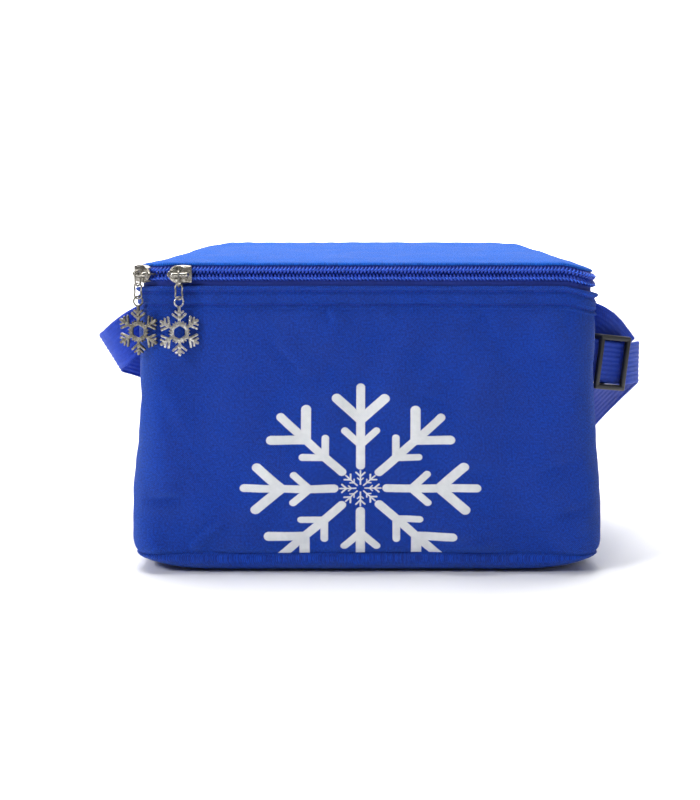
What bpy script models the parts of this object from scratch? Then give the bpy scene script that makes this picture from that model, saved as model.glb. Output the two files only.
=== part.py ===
"""Insulated cooler bag: six-can size, fabric outside, foam, foil lining, zip round three
sides with two sliders and snowflake pulls, and an adjustable webbing strap.

Frame: origin at the centre of the flat underside, +Z up, front faces -Y, +X to the right.
All driving dimensions are in millimetres and are multiplied by MM.
"""

import math

import bmesh
import bpy
from mathutils import Matrix, Vector

MM = 0.001

# Body
BODY_HALF_X = ((9.3, 105.0), (25.0, 105.4), (50.0, 103.7), (77.0, 101.5), (129.8, 101.5))
BODY_HALF_Y = 73.0
BODY_CORNER = 12.8
SEAM_Z = 9.3
HEM_Z = 129.8
BACK_TOP_Z = 133.6
SEAM_BACK_Y = 59.0
FABRIC = 0.8
GAP = 0.3
FOAM = 3.0
FOIL = 0.6

# Zip
TAPE_HALF_X = 99.8
TAPE_HALF_Y = 71.9
TAPE_CORNER = 12.0
TAPE = 0.6
ZIP_Z = 135.0
COIL_R = 1.2
COIL_OFFSET_Z = 2.1
COIL_OUT = 1.5
ZIP_END_Y = 55.0

# Lid
LID_EDGE_Z = 139.4
LID_CROWN = 1.8

# Sliders
SLIDER_LENGTH = 11.0
SLIDER_Z = (130.9, 138.7)
SLIDER_RIGHT_X = -82.4
SLIDER_LEFT_ANGLE = 225.0
SLIDER_LEFT_HALF_ANGLE = 23.0
FRONT_PLATE = (3.0, 4.2)  # measured outward from the tape's outer face
BACK_PLATE = (-1.9, -0.9)
BRIDGE_OUT = 6.5  # centre of the bridge bar
BRIDGE_BAR = 1.0
BRIDGE_HALF = 3.6
NECK = 1.0
WIRE = 0.4

# Pulls, measured down from the bridge bar
LOOP_R = 1.5
LOOP_DROP = 3.6
LINK_HALF_W = 1.85
LINK_TALL = 6.9
RING_R = 2.15
LINK_GAP = 0.35
CHARM_R = 10.6
CHARM_THICK = 1.5
LINK_YAW = -22.0
RING_YAW = 33.0

# Strap
STRAP_WIDTH = 20.0
STRAP_THICK = 1.4
ANCHOR_Z = 101.0
GLIDE_X, GLIDE_Y, GLIDE_Z = 115.8, -9.6, 88.0
GLIDE_LONG, GLIDE_BAR = 18.0, 2.5


def clear_scene():
    for obj in list(bpy.data.objects):
        bpy.data.objects.remove(obj)


clear_scene()
PARTS = bpy.data.collections.new("insulated_cooler_bag")
CUTTERS = bpy.data.collections.new("cutters")
bpy.context.scene.collection.children.link(PARTS)
bpy.context.scene.collection.children.link(CUTTERS)


def principled(name, color, roughness, metallic=0.0):
    mat = bpy.data.materials.new(name)
    mat.use_nodes = True
    node = mat.node_tree.nodes["Principled BSDF"]
    node.inputs["Base Color"].default_value = (*color, 1.0)
    node.inputs["Roughness"].default_value = roughness
    node.inputs["Metallic"].default_value = metallic
    mat.diffuse_color = (*color, 1.0)
    return mat


BLUE = (0.012, 0.045, 0.37)
LID_BLUE = (0.02, 0.09, 0.5)
STRAP_BLUE = (0.025, 0.07, 0.6)
FOAM_WHITE = (0.85, 0.85, 0.82)
FOIL_SILVER = (0.75, 0.76, 0.78)
NICKEL = (0.62, 0.58, 0.52)
BLACK = (0.015, 0.015, 0.017)


def finish(obj, material, smooth=True):
    obj.data.materials.clear()
    obj.data.materials.append(material)
    if smooth and obj.type == "MESH":
        obj.data.shade_smooth()
        obj.data.set_sharp_from_angle(angle=math.radians(35))
    return obj


def add_mesh(name, bm, collection=None):
    mesh = bpy.data.meshes.new(name)
    bm.to_mesh(mesh)
    bm.free()
    obj = bpy.data.objects.new(name, mesh)
    (collection or PARTS).objects.link(obj)
    return obj


def set_origin(obj, point_mm):
    """Moves an object's origin to a point, leaving its shape where it is."""
    point = Vector(point_mm) * MM
    obj.data.transform(Matrix.Translation(-point))
    obj.location = point
    return obj


def arc(cx, cy, r, a0, a1, steps):
    return [
        (
            cx + r * math.cos(math.radians(a0 + (a1 - a0) * i / steps)),
            cy + r * math.sin(math.radians(a0 + (a1 - a0) * i / steps)),
        )
        for i in range(steps + 1)
    ]


def loop_path(hx, hy, r, steps=5):
    """A rounded rectangle, counter-clockwise from the back right corner."""
    return (
        arc(hx - r, hy - r, r, 0, 90, steps)
        + arc(-hx + r, hy - r, r, 90, 180, steps)
        + arc(-hx + r, -hy + r, r, 180, 270, steps)
        + arc(hx - r, -hy + r, r, 270, 360, steps)
    )


def front_path(hx, hy, r, y_end, steps=6):
    """The U that runs down the left side, across the front and up the right side."""
    return (
        [(-hx, y_end)]
        + arc(-hx + r, -hy + r, r, 180, 270, steps)
        + arc(hx - r, -hy + r, r, 270, 360, steps)
        + [(hx, y_end)]
    )


def back_path(hx, hy, r, y_end, steps=6):
    return (
        [(hx, y_end)]
        + arc(hx - r, hy - r, r, 0, 90, steps)
        + arc(-hx + r, hy - r, r, 90, 180, steps)
        + [(-hx, y_end)]
    )


def shell(name, levels, closed, thickness, floor=False, roof=False):
    """An open surface through one path per level, thickened evenly to both sides."""
    bm = bmesh.new()
    rows = []
    for z, path in levels:
        rows.append([bm.verts.new((x * MM, y * MM, z * MM)) for x, y in path])
    for low, high in zip(rows, rows[1:]):
        count = len(low)
        for i in range(count if closed else count - 1):
            j = (i + 1) % count
            bm.faces.new((low[i], low[j], high[j], high[i]))
    if floor:
        bm.faces.new(list(reversed(rows[0])))
    if roof:
        bm.faces.new(rows[-1])
    bmesh.ops.recalc_face_normals(bm, faces=bm.faces)
    obj = add_mesh(name, bm)
    thick = obj.modifiers.new("thickness", "SOLIDIFY")
    thick.thickness = thickness * MM
    thick.offset = 0.0
    thick.use_even_offset = True
    return obj


def prism(name, outline, z0, z1, collection=None):
    """A flat outline raised from z0 to z1."""
    bm = bmesh.new()
    base = bm.faces.new([bm.verts.new((x * MM, y * MM, z0 * MM)) for x, y in outline])
    top = bmesh.ops.extrude_face_region(bm, geom=[base])
    moved = [v for v in top["geom"] if isinstance(v, bmesh.types.BMVert)]
    bmesh.ops.translate(bm, verts=moved, vec=(0, 0, (z1 - z0) * MM))
    bmesh.ops.recalc_face_normals(bm, faces=bm.faces)
    return add_mesh(name, bm, collection)


def box(name, low, high, collection=None, matrix=None):
    bm = bmesh.new()
    bmesh.ops.create_cube(bm, size=1.0)
    size = [(h - l) * MM for l, h in zip(low, high)]
    mid = [(h + l) / 2 * MM for l, h in zip(low, high)]
    bmesh.ops.transform(
        bm,
        matrix=Matrix.Translation(mid) @ Matrix.Diagonal((*size, 1.0)),
        verts=bm.verts,
    )
    if matrix is not None:
        bmesh.ops.transform(bm, matrix=matrix, verts=bm.verts)
    return add_mesh(name, bm, collection)


def cutter(obj):
    obj.hide_render = True
    obj.display_type = "WIRE"
    return obj


def boolean(obj, operation, other):
    cutter(other)
    mod = obj.modifiers.new(other.name, "BOOLEAN")
    mod.operation = operation
    mod.object = other
    mod.solver = "EXACT"


def wire(name, points, radius, cyclic=False, resolution=1, collection=None):
    curve = bpy.data.curves.new(name, "CURVE")
    curve.dimensions = "3D"
    curve.bevel_depth = radius * MM
    curve.bevel_resolution = resolution
    curve.use_fill_caps = not cyclic
    spline = curve.splines.new("POLY")
    spline.points.add(len(points) - 1)
    for point, co in zip(spline.points, points):
        point.co = (co[0] * MM, co[1] * MM, co[2] * MM, 1.0)
    spline.use_cyclic_u = cyclic
    obj = bpy.data.objects.new(name, curve)
    (collection or PARTS).objects.link(obj)
    return obj


def as_mesh(obj):
    """A curve object made into a mesh with its caps welded on."""
    bpy.context.view_layer.update()
    graph = bpy.context.evaluated_depsgraph_get()
    mesh = bpy.data.meshes.new_from_object(obj.evaluated_get(graph))
    bm = bmesh.new()
    bm.from_mesh(mesh)
    bmesh.ops.remove_doubles(bm, verts=bm.verts, dist=1e-6)
    bmesh.ops.recalc_face_normals(bm, faces=bm.faces)
    bm.to_mesh(mesh)
    bm.free()
    name, collection = obj.name, obj.users_collection[0]
    matrix = obj.matrix_world.copy()
    bpy.data.objects.remove(obj)
    made = bpy.data.objects.new(name, mesh)
    made.matrix_world = matrix
    collection.objects.link(made)
    return made


# Materials

fabric = principled("body_fabric", BLUE, 0.8)
lid_fabric = principled("lid_fabric", LID_BLUE, 0.75)
foam_white = principled("insulation_foam", FOAM_WHITE, 0.9)
foil = principled("foil_lining", FOIL_SILVER, 0.3, 0.6)
binding = principled("binding_tape", (0.012, 0.03, 0.25), 0.85)
tape = principled("zip_tape", (0.012, 0.04, 0.35), 0.8)
coil_nylon = principled("zip_coil", (0.015, 0.06, 0.45), 0.45)
nickel = principled("slider_nickel", NICKEL, 0.3, 1.0)
charm_metal = principled("charm_metal", (0.66, 0.64, 0.6), 0.35, 1.0)
webbing = principled("strap_webbing", STRAP_BLUE, 0.7)
black = principled("black_plastic", BLACK, 0.35)


# Body shell

def body_half(z):
    """Half the body's width at a height: widest just above the floor."""
    for (z0, x0), (z1, x1) in zip(BODY_HALF_X, BODY_HALF_X[1:]):
        if z <= z1:
            return x0 + (x1 - x0) * (z - z0) / (z1 - z0)
    return BODY_HALF_X[-1][1]


wall_levels = [z for z, _ in BODY_HALF_X]
front_wrap = shell(
    "front_wrap_panel",
    [
        (
            z,
            front_path(
                body_half(z) - FABRIC / 2,
                BODY_HALF_Y - FABRIC / 2,
                BODY_CORNER - FABRIC / 2,
                SEAM_BACK_Y - GAP,
            ),
        )
        for z in wall_levels
    ],
    False,
    FABRIC,
)
finish(front_wrap, fabric)

back = shell(
    "back_panel",
    [
        (
            z,
            back_path(
                body_half(z) - FABRIC / 2,
                BODY_HALF_Y - FABRIC / 2 - (0.3 if z > 130 else 0.0),
                BODY_CORNER - FABRIC / 2,
                SEAM_BACK_Y + GAP,
            ),
        )
        for z in (*wall_levels, BACK_TOP_Z)
    ],
    False,
    FABRIC,
)
finish(back, fabric)

bottom = shell(
    "bottom_panel",
    [
        (0.45, loop_path(97.5, 65.2, 8.0)),
        (1.9, loop_path(101.8, 69.4, 10.5)),
        (5.0, loop_path(104.0, 71.7, 12.0)),
        (SEAM_Z - 0.4, loop_path(104.6, 72.3, 12.4)),
    ],
    True,
    0.9,
    floor=True,
)
finish(bottom, fabric)

# Insulation

foam_top = 127.4
for name, low, high in (
    ("foam_front", (-86, -71.0, 10.2), (86, -68.0, foam_top)),
    ("foam_back", (-86, 68.0, 10.2), (86, 71.0, foam_top)),
    ("foam_left", (-98.9, -58, 10.2), (-95.9, 58, foam_top)),
    ("foam_right", (95.9, -58, 10.2), (98.9, 58, foam_top)),
    ("foam_bottom", (-92, -62, 1.25), (92, 62, 4.2)),
):
    finish(box(name, low, high), foam_white, smooth=False)

liner_path = loop_path(95.6 - FOIL / 2, 67.7 - FOIL / 2, 7.0)
liner = shell(
    "liner_tub",
    [(4.8, liner_path), (66.0, liner_path), (127.4, liner_path)],
    True,
    FOIL,
    floor=True,
)
finish(liner, foil)

rim_path = loop_path(96.9, 68.95, 9.1)
rim = shell("rim_binding", [(127.75, rim_path), (130.4, rim_path)], True, 4.0)
finish(rim, binding)


# Zip halves

def tape_path(out, y_end=ZIP_END_Y, steps=6):
    """The zip's route at a distance outward from the tape's outer face."""
    return front_path(
        TAPE_HALF_X + out, TAPE_HALF_Y + out, TAPE_CORNER + out, y_end, steps
    )


lower_tape = shell(
    "zip_tape_lower",
    [(119.5, tape_path(-TAPE / 2)), (134.1, tape_path(-TAPE / 2))],
    False,
    TAPE,
)
finish(lower_tape, tape)
upper_tape = shell(
    "zip_tape_upper",
    [(135.9, tape_path(-TAPE / 2)), (138.7, tape_path(-TAPE / 2))],
    False,
    TAPE,
)
finish(upper_tape, tape)


def coil(name, z):
    route = [(x, y, z) for x, y in tape_path(COIL_OUT, steps=8)]
    return finish(wire(name, route, COIL_R, resolution=2), coil_nylon)


coil("zip_coil_lower", ZIP_Z - COIL_OFFSET_Z)
coil("zip_coil_upper", ZIP_Z + COIL_OFFSET_Z)
for side, name in ((-1, "zip_stop_left"), (1, "zip_stop_right")):
    x0, x1 = sorted((side * (TAPE_HALF_X + 0.4), side * (TAPE_HALF_X + 2.8)))
    stop = box(name, (x0, ZIP_END_Y + 0.4, 131.5), (x1, ZIP_END_Y + 3.2, 133.9))
    finish(stop, nickel, smooth=False)


# Lid, whose fabric hinge is the back panel's top edge

lid = shell(
    "lid_panel",
    [
        (LID_EDGE_Z, loop_path(100.1, 72.2, 12.6)),
        (LID_EDGE_Z + 0.75 * LID_CROWN, loop_path(89.0, 61.5, 9.0)),
        (LID_EDGE_Z + LID_CROWN, loop_path(62.0, 36.0, 6.0)),
    ],
    True,
    FABRIC,
    roof=True,
)
finish(lid, lid_fabric)
finish(prism("lid_foam", loop_path(94.7, 66.9, 7.0), 135.9, 138.6), foam_white)
finish(prism("lid_lining", loop_path(94.7, 66.9, 7.0), 135.0, 135.6), foil)
lid_ring = loop_path(96.15, 68.4, 8.5)
finish(shell("lid_binding", [(134.9, lid_ring), (138.6, lid_ring)], True, 2.2), binding)


# Sliders

slider_cut_hi = (ZIP_Z + NECK / 2, 146.0)
slider_cut_lo = (124.0, ZIP_Z - NECK / 2)
front_y = -TAPE_HALF_Y

# The right slider sits on the straight front run, with its nose to the left.
half = SLIDER_LENGTH / 2
x_mid = SLIDER_RIGHT_X
y_out, y_in = front_y - FRONT_PLATE[1], front_y - BACK_PLATE[0]
slot = (front_y - FRONT_PLATE[0], front_y - BACK_PLATE[1])
slider_right = box(
    "slider_right", (x_mid - half, y_out, SLIDER_Z[0]), (x_mid + half, y_in, SLIDER_Z[1])
)
boolean(
    slider_right,
    "DIFFERENCE",
    box(
        "slot_upper_right",
        (x_mid - 9, slot[0], slider_cut_hi[0]),
        (x_mid + 9, slot[1], slider_cut_hi[1]),
        CUTTERS,
    ),
)
boolean(
    slider_right,
    "DIFFERENCE",
    box(
        "slot_lower_right",
        (x_mid - 9, slot[0], slider_cut_lo[0]),
        (x_mid + 9, slot[1], slider_cut_lo[1]),
        CUTTERS,
    ),
)
boolean(
    slider_right,
    "DIFFERENCE",
    box(
        "slot_tail_right",
        (x_mid - half + 3.6, slot[0], ZIP_Z - 2),
        (x_mid + 9, slot[1], ZIP_Z + 2),
        CUTTERS,
    ),
)
bridge_y = front_y - BRIDGE_OUT
boolean(
    slider_right,
    "UNION",
    box(
        "bridge_right",
        (x_mid - BRIDGE_HALF, bridge_y - BRIDGE_BAR / 2, ZIP_Z - BRIDGE_BAR / 2),
        (x_mid + BRIDGE_HALF, y_out + 0.6, ZIP_Z + BRIDGE_BAR / 2),
        CUTTERS,
    ),
)
boolean(
    slider_right,
    "DIFFERENCE",
    box(
        "window_right",
        (x_mid - BRIDGE_HALF + 1.0, bridge_y + BRIDGE_BAR / 2, ZIP_Z - 2),
        (x_mid + BRIDGE_HALF - 1.0, y_out, ZIP_Z + 2),
        CUTTERS,
    ),
)
set_origin(finish(slider_right, nickel, smooth=False), (x_mid, front_y, ZIP_Z))

# The left slider sits on the rounded corner, so its plates follow that arc.
corner = (-TAPE_HALF_X + TAPE_CORNER, -TAPE_HALF_Y + TAPE_CORNER)


def sector(name, r0, r1, a0, a1, z0, z1, collection=None):
    outline = arc(0, 0, r1, a0, a1, 8) + arc(0, 0, r0, a1, a0, 8)
    made = prism(name, outline, z0, z1, collection)
    made.location = (corner[0] * MM, corner[1] * MM, 0)
    return made


a_mid, a_half = SLIDER_LEFT_ANGLE, SLIDER_LEFT_HALF_ANGLE
r_in, r_out = TAPE_CORNER + BACK_PLATE[0], TAPE_CORNER + FRONT_PLATE[1]
slot_r = (TAPE_CORNER + BACK_PLATE[1], TAPE_CORNER + FRONT_PLATE[0])
slider_left = sector(
    "slider_left", r_in, r_out, a_mid - a_half, a_mid + a_half, *SLIDER_Z
)
boolean(
    slider_left,
    "DIFFERENCE",
    sector(
        "slot_upper_left", *slot_r, a_mid - 40, a_mid + 40, *slider_cut_hi, CUTTERS
    ),
)
boolean(
    slider_left,
    "DIFFERENCE",
    sector(
        "slot_lower_left", *slot_r, a_mid - 40, a_mid + 40, *slider_cut_lo, CUTTERS
    ),
)
boolean(
    slider_left,
    "DIFFERENCE",
    sector(
        "slot_tail_left",
        *slot_r,
        a_mid - 40,
        a_mid + a_half - 16,
        ZIP_Z - 2,
        ZIP_Z + 2,
        CUTTERS,
    ),
)
corner_turn = Matrix.Translation((corner[0] * MM, corner[1] * MM, 0)) @ Matrix.Rotation(
    math.radians(a_mid + 90), 4, "Z"
)
bridge_r = TAPE_CORNER + BRIDGE_OUT
boolean(
    slider_left,
    "UNION",
    box(
        "bridge_left",
        (-BRIDGE_HALF, -bridge_r - BRIDGE_BAR / 2, ZIP_Z - BRIDGE_BAR / 2),
        (BRIDGE_HALF, -r_out + 1.0, ZIP_Z + BRIDGE_BAR / 2),
        CUTTERS,
        corner_turn,
    ),
)
boolean(
    slider_left,
    "DIFFERENCE",
    box(
        "window_left",
        (-BRIDGE_HALF + 1.0, -bridge_r + BRIDGE_BAR / 2, ZIP_Z - 2),
        (BRIDGE_HALF - 1.0, -r_out - 0.02, ZIP_Z + 2),
        CUTTERS,
        corner_turn,
    ),
)
finish(slider_left, nickel, smooth=False)


# Pulls

def stadium(r, low, high, steps=7):
    """A flat loop with round ends, in (sideways, up)."""
    return arc(0, high - r, r, 0, 180, steps) + arc(0, low + r, r, 180, 360, steps)


def snowflake_outline(radius, top_extra):
    """Six arms, each with a long and a short pair of branches, round a small hub."""
    k = radius / 10.6
    right = [
        (0.95, 4.7),
        (3.35, 6.75),
        (2.75, 7.95),
        (0.95, 6.5),
        (0.95, 7.7),
        (2.2, 8.75),
        (1.6, 9.7),
        (0.8, 9.2),
    ]
    points = []
    for arm in range(6):
        turn = math.radians(60 * arm)
        tip = [(0.55, 10.6), (-0.55, 10.6)]
        if arm == 0:
            tip = [(0.6, 10.6 + top_extra / k), (-0.6, 10.6 + top_extra / k)]
        side = right + tip + [(-x, y) for x, y in reversed(right)]
        valley = (
            4.3 * math.sin(math.radians(-30)),
            4.3 * math.cos(math.radians(-30)),
        )
        for x, y in side + [valley]:
            points.append(
                (
                    k * (x * math.cos(turn) - y * math.sin(turn)),
                    k * (x * math.sin(turn) + y * math.cos(turn)),
                )
            )
    return points


def flat_curve(name, loops, half_thick):
    curve = bpy.data.curves.new(name, "CURVE")
    curve.dimensions = "2D"
    curve.fill_mode = "BOTH"
    curve.extrude = half_thick * MM
    for loop in loops:
        spline = curve.splines.new("POLY")
        spline.points.add(len(loop) - 1)
        for point, (x, y) in zip(spline.points, loop):
            point.co = (x * MM, y * MM, 0.0, 1.0)
        spline.use_cyclic_u = True
    obj = bpy.data.objects.new(name, curve)
    PARTS.objects.link(obj)
    return obj


def turned(yaw):
    return Matrix.Rotation(math.radians(yaw), 4, "Z")


def pull(side, bar, bar_yaw, charm_yaw):
    """Wire loop, oval link and snowflake charm, hanging from one slider's bridge bar."""
    x0, y0, z0 = bar
    cross = turned(bar_yaw)
    loop = []
    for across, up in stadium(LOOP_R, -LOOP_R - LOOP_DROP, LOOP_R):
        v = cross @ Vector((0, across, up))
        loop.append((x0 + v.x, y0 + v.y, z0 + v.z))
    loop_obj = as_mesh(wire("pull_loop_" + side, loop, WIRE, cyclic=True))
    set_origin(finish(loop_obj, nickel), bar)

    link_top = z0 - LOOP_R - LOOP_DROP + 2 * WIRE + LINK_GAP
    link_low = link_top - LINK_TALL
    link = []
    for across, up in stadium(LINK_HALF_W, link_low, link_top):
        v = turned(LINK_YAW) @ Vector((across, 0, 0))
        link.append((x0 + v.x, y0 + v.y, up))
    link_obj = as_mesh(wire("pull_link_" + side, link, WIRE, cyclic=True))
    set_origin(finish(link_obj, nickel), bar)

    ring_top = link_low + 2 * WIRE + LINK_GAP
    ring_mid = ring_top - RING_R
    ring = []
    for across, up in arc(0, 0, RING_R, 0, 342, 19):
        v = turned(RING_YAW) @ Vector((across, 0, 0))
        ring.append((x0 + v.x, y0 + v.y, ring_mid + up))
    ring_obj = as_mesh(
        wire("charm_ring_" + side, ring, WIRE, cyclic=True, collection=CUTTERS)
    )
    extra = 0.7
    star_mid = ring_mid - RING_R - CHARM_R - extra + 0.1
    hub = [
        (2.9 * math.cos(math.radians(60 * i + 30)), 2.9 * math.sin(math.radians(60 * i + 30)))
        for i in range(6)
    ]
    star = flat_curve(
        "snowflake_charm_" + side,
        [snowflake_outline(CHARM_R, extra), hub],
        CHARM_THICK / 2,
    )
    star = as_mesh(star)
    star.data.transform(
        Matrix.Translation((x0 * MM, y0 * MM, star_mid * MM))
        @ turned(charm_yaw)
        @ Matrix.Rotation(math.radians(90), 4, "X")
    )
    boolean(star, "UNION", ring_obj)
    finish(star, charm_metal, smooth=False)
    pivot = (x0, y0, link_low)
    return set_origin(star, pivot)


pull("right", (x_mid, bridge_y, ZIP_Z), 0.0, 0.0)
left_bar = corner_turn @ Vector((0, -bridge_r * MM, 0))
pull("left", (left_bar.x / MM, left_bar.y / MM, ZIP_Z), a_mid + 90, -15.0)


# Strap

def smooth_route(points, per=4):
    """Points on a smooth curve through the given ones (Catmull-Rom)."""
    padded = [points[0], *points, points[-1]]
    out = []
    for a, b, c, d in zip(padded, padded[1:], padded[2:], padded[3:]):
        a, b, c, d = map(Vector, (a, b, c, d))
        for i in range(per):
            t = i / per
            out.append(
                0.5
                * (
                    2 * b
                    + (c - a) * t
                    + (2 * a - 5 * b + 4 * c - d) * t * t
                    + (3 * b - a - 3 * c + d) * t**3
                )
            )
    out.append(Vector(points[-1]))
    return out


def ribbon(name, route, width, thick, level=()):
    """Flat webbing along a route, with its width held as upright as the route allows."""
    bm = bmesh.new()
    rows = []
    for i, p in enumerate(route):
        ahead = route[min(i + 1, len(route) - 1)]
        behind = route[max(i - 1, 0)]
        t = (ahead - behind).normalized()
        up = Vector((0, 0, 1))
        w = (up - up.dot(t) * t).normalized() * width / 2
        rows.append((bm.verts.new((p - w) * MM), bm.verts.new((p + w) * MM)))
    for (a, b), (c, d) in zip(rows, rows[1:]):
        bm.faces.new((a, c, d, b))
    obj = add_mesh(name, bm)
    mod = obj.modifiers.new("thickness", "SOLIDIFY")
    mod.thickness = thick * MM
    mod.offset = 0.0
    mod.use_even_offset = True
    return obj


STRAP_ROUTE = [
    (-104.6, 5.0, 101.0),
    (-105.6, -6.0, 100.9),
    (-112.5, -12.0, 100.6),
    (-122.5, -6.5, 99.8),
    (-127.2, 12.0, 96.5),
    (-125.5, 46.0, 82.0),
    (-119.5, 82.0, 55.0),
    (-106.5, 109.0, 28.0),
    (-82.0, 122.5, 13.2),
    (-42.0, 126.0, 10.6),
    (0.0, 125.5, 10.6),
    (42.0, 126.0, 10.6),
    (84.0, 122.0, 14.0),
    (110.0, 108.0, 31.0),
    (125.5, 82.0, 53.0),
    (132.6, 48.0, 73.0),
    (134.0, 20.0, 84.0),
    (132.9, 2.0, 87.6),
    (130.4, -6.0, 88.0),
    (127.6, -9.1, 88.0),
    (124.8, -9.6, 88.0),
    (121.0, -9.6, 88.0),
    (115.8, -9.6, 88.0),
    (111.0, -9.6, 88.0),
    (107.4, -9.6, 88.0),
    (105.3, -7.6, 88.0),
    (104.5, -2.0, 88.2),
    (104.4, 6.0, 88.6),
]
strap = ribbon("strap_webbing", smooth_route(STRAP_ROUTE), STRAP_WIDTH, STRAP_THICK)
set_origin(finish(strap, webbing), (0, 0, ANCHOR_Z))

# The webbing's sewn end, turned back behind the glide's middle bar.
end_fold = ribbon(
    "strap_end_fold",
    [
        Vector((125.6, -7.5, 88.0)),
        Vector((123.0, -7.6, 88.0)),
        Vector((120.3, -7.6, 88.0)),
    ],
    STRAP_WIDTH - 1.0,
    1.0,
)
set_origin(finish(end_fold, webbing), (0, 0, ANCHOR_Z))

# Sewn ends on the sides: a flat patch of webbing lying on the fabric.
for side, name in ((-1, "strap_anchor_left"), (1, "strap_anchor_right")):
    x0, x1 = sorted((side * 101.8, side * 103.1))
    patch = box(name, (x0, -12.0, ANCHOR_Z - 10), (x1, 12.0, ANCHOR_Z + 10))
    finish(patch, webbing, smooth=False)

# Three-bar glide: two side bars in front of the webbing and one middle bar behind it.
gx, gy, gz = GLIDE_X, GLIDE_Y, GLIDE_Z
front_bar = (gy - STRAP_THICK / 2 - 0.4 - 2.3, gy - STRAP_THICK / 2 - 0.4)
back_bar = (gy + STRAP_THICK / 2 + 0.4, gy + STRAP_THICK / 2 + 0.4 + 1.6)
rail_z = STRAP_WIDTH / 2 + 0.5
glide = box(
    "tri_glide",
    (gx - GLIDE_LONG / 2, front_bar[0], gz + rail_z),
    (gx + GLIDE_LONG / 2, back_bar[1], gz + rail_z + GLIDE_BAR),
)
for tag, low, high in (
    (
        "glide_low_rail",
        (gx - GLIDE_LONG / 2, front_bar[0], gz - rail_z - GLIDE_BAR),
        (gx + GLIDE_LONG / 2, back_bar[1], gz - rail_z),
    ),
    (
        "glide_left_bar",
        (gx - GLIDE_LONG / 2, front_bar[0], gz - rail_z - 1),
        (gx - GLIDE_LONG / 2 + GLIDE_BAR, front_bar[1], gz + rail_z + 1),
    ),
    (
        "glide_right_bar",
        (gx + GLIDE_LONG / 2 - GLIDE_BAR, front_bar[0], gz - rail_z - 1),
        (gx + GLIDE_LONG / 2, front_bar[1], gz + rail_z + 1),
    ),
    (
        "glide_middle_bar",
        (gx - GLIDE_BAR / 2, back_bar[0], gz - rail_z - 1),
        (gx + GLIDE_BAR / 2, back_bar[1], gz + rail_z + 1),
    ),
):
    boolean(glide, "UNION", box(tag, low, high, CUTTERS))
set_origin(finish(glide, black, smooth=False), (gx, gy, gz))
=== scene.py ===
"""Looks of the insulated cooler bag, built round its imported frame. Lengths are in mm until MM."""

import math

import bmesh
import bpy
import numpy as np
from mathutils import Matrix, Vector


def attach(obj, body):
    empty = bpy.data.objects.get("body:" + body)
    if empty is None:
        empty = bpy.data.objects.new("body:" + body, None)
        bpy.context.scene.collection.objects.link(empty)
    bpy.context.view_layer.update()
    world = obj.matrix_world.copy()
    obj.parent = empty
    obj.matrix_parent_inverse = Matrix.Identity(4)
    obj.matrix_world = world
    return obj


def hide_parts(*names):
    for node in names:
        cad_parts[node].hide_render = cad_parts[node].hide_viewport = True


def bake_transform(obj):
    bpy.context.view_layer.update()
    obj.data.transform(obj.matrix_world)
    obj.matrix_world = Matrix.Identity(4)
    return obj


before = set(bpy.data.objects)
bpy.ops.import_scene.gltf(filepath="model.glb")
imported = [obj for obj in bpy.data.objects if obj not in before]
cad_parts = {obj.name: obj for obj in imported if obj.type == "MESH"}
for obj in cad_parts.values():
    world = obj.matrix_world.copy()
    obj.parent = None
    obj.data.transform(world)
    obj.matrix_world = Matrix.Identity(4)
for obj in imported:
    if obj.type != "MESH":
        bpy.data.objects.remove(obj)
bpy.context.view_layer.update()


MM = 0.001

# ---------------------------------------------------------------- camera and light

scene = bpy.context.scene
cam_data = bpy.data.cameras.new("camera")
cam = bpy.data.objects.new("camera", cam_data)
scene.collection.objects.link(cam)
cam_data.sensor_width = 36.0
cam_data.lens = 82.05
cam_data.clip_start = 0.01
cam.location = (-0.00766, -0.873, 0.196)
cam.rotation_euler = (math.radians(90 - 8.32), 0, 0)
scene.camera = cam


def area_light(name, location, target, size, power, color=(1, 1, 1)):
    data = bpy.data.lights.new(name, "AREA")
    data.shape = "RECTANGLE"
    data.size, data.size_y = size
    data.energy = power
    data.color = color
    obj = bpy.data.objects.new(name, data)
    obj.location = location
    aim = Vector(target) - Vector(location)
    obj.rotation_euler = aim.to_track_quat("-Z", "Y").to_euler()
    scene.collection.objects.link(obj)
    return obj


area_light("top_softbox", (-0.1, 0.14, 1.15), (0, 0.05, 0.1), (1.05, 0.8), 19.8)
area_light("key", (-0.95, -0.95, 0.85), (0, 0, 0.07), (0.32, 0.32), 12.3)
area_light("right_fill", (1.1, -0.7, 0.45), (0, 0, 0.07), (0.5, 0.6), 1.2)
world = bpy.data.worlds.new("studio")
scene.world = world
world.use_nodes = True
world.node_tree.nodes["Background"].inputs["Color"].default_value = (1, 1, 1, 1)
world.node_tree.nodes["Background"].inputs["Strength"].default_value = 0.09
scene.view_settings.view_transform = "Standard"
scene.view_settings.look = "None"

bpy.ops.mesh.primitive_plane_add(size=14.0, location=(0, 3.0, -0.0004))
floor = bpy.context.object
floor.name = "floor"
bpy.ops.mesh.primitive_plane_add(size=4.0, location=(0, 1.15, 1.2), rotation=(math.radians(90), 0, 0))
backdrop = bpy.context.object
backdrop.name = "backdrop"

# ---------------------------------------------------------------- node helpers


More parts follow.
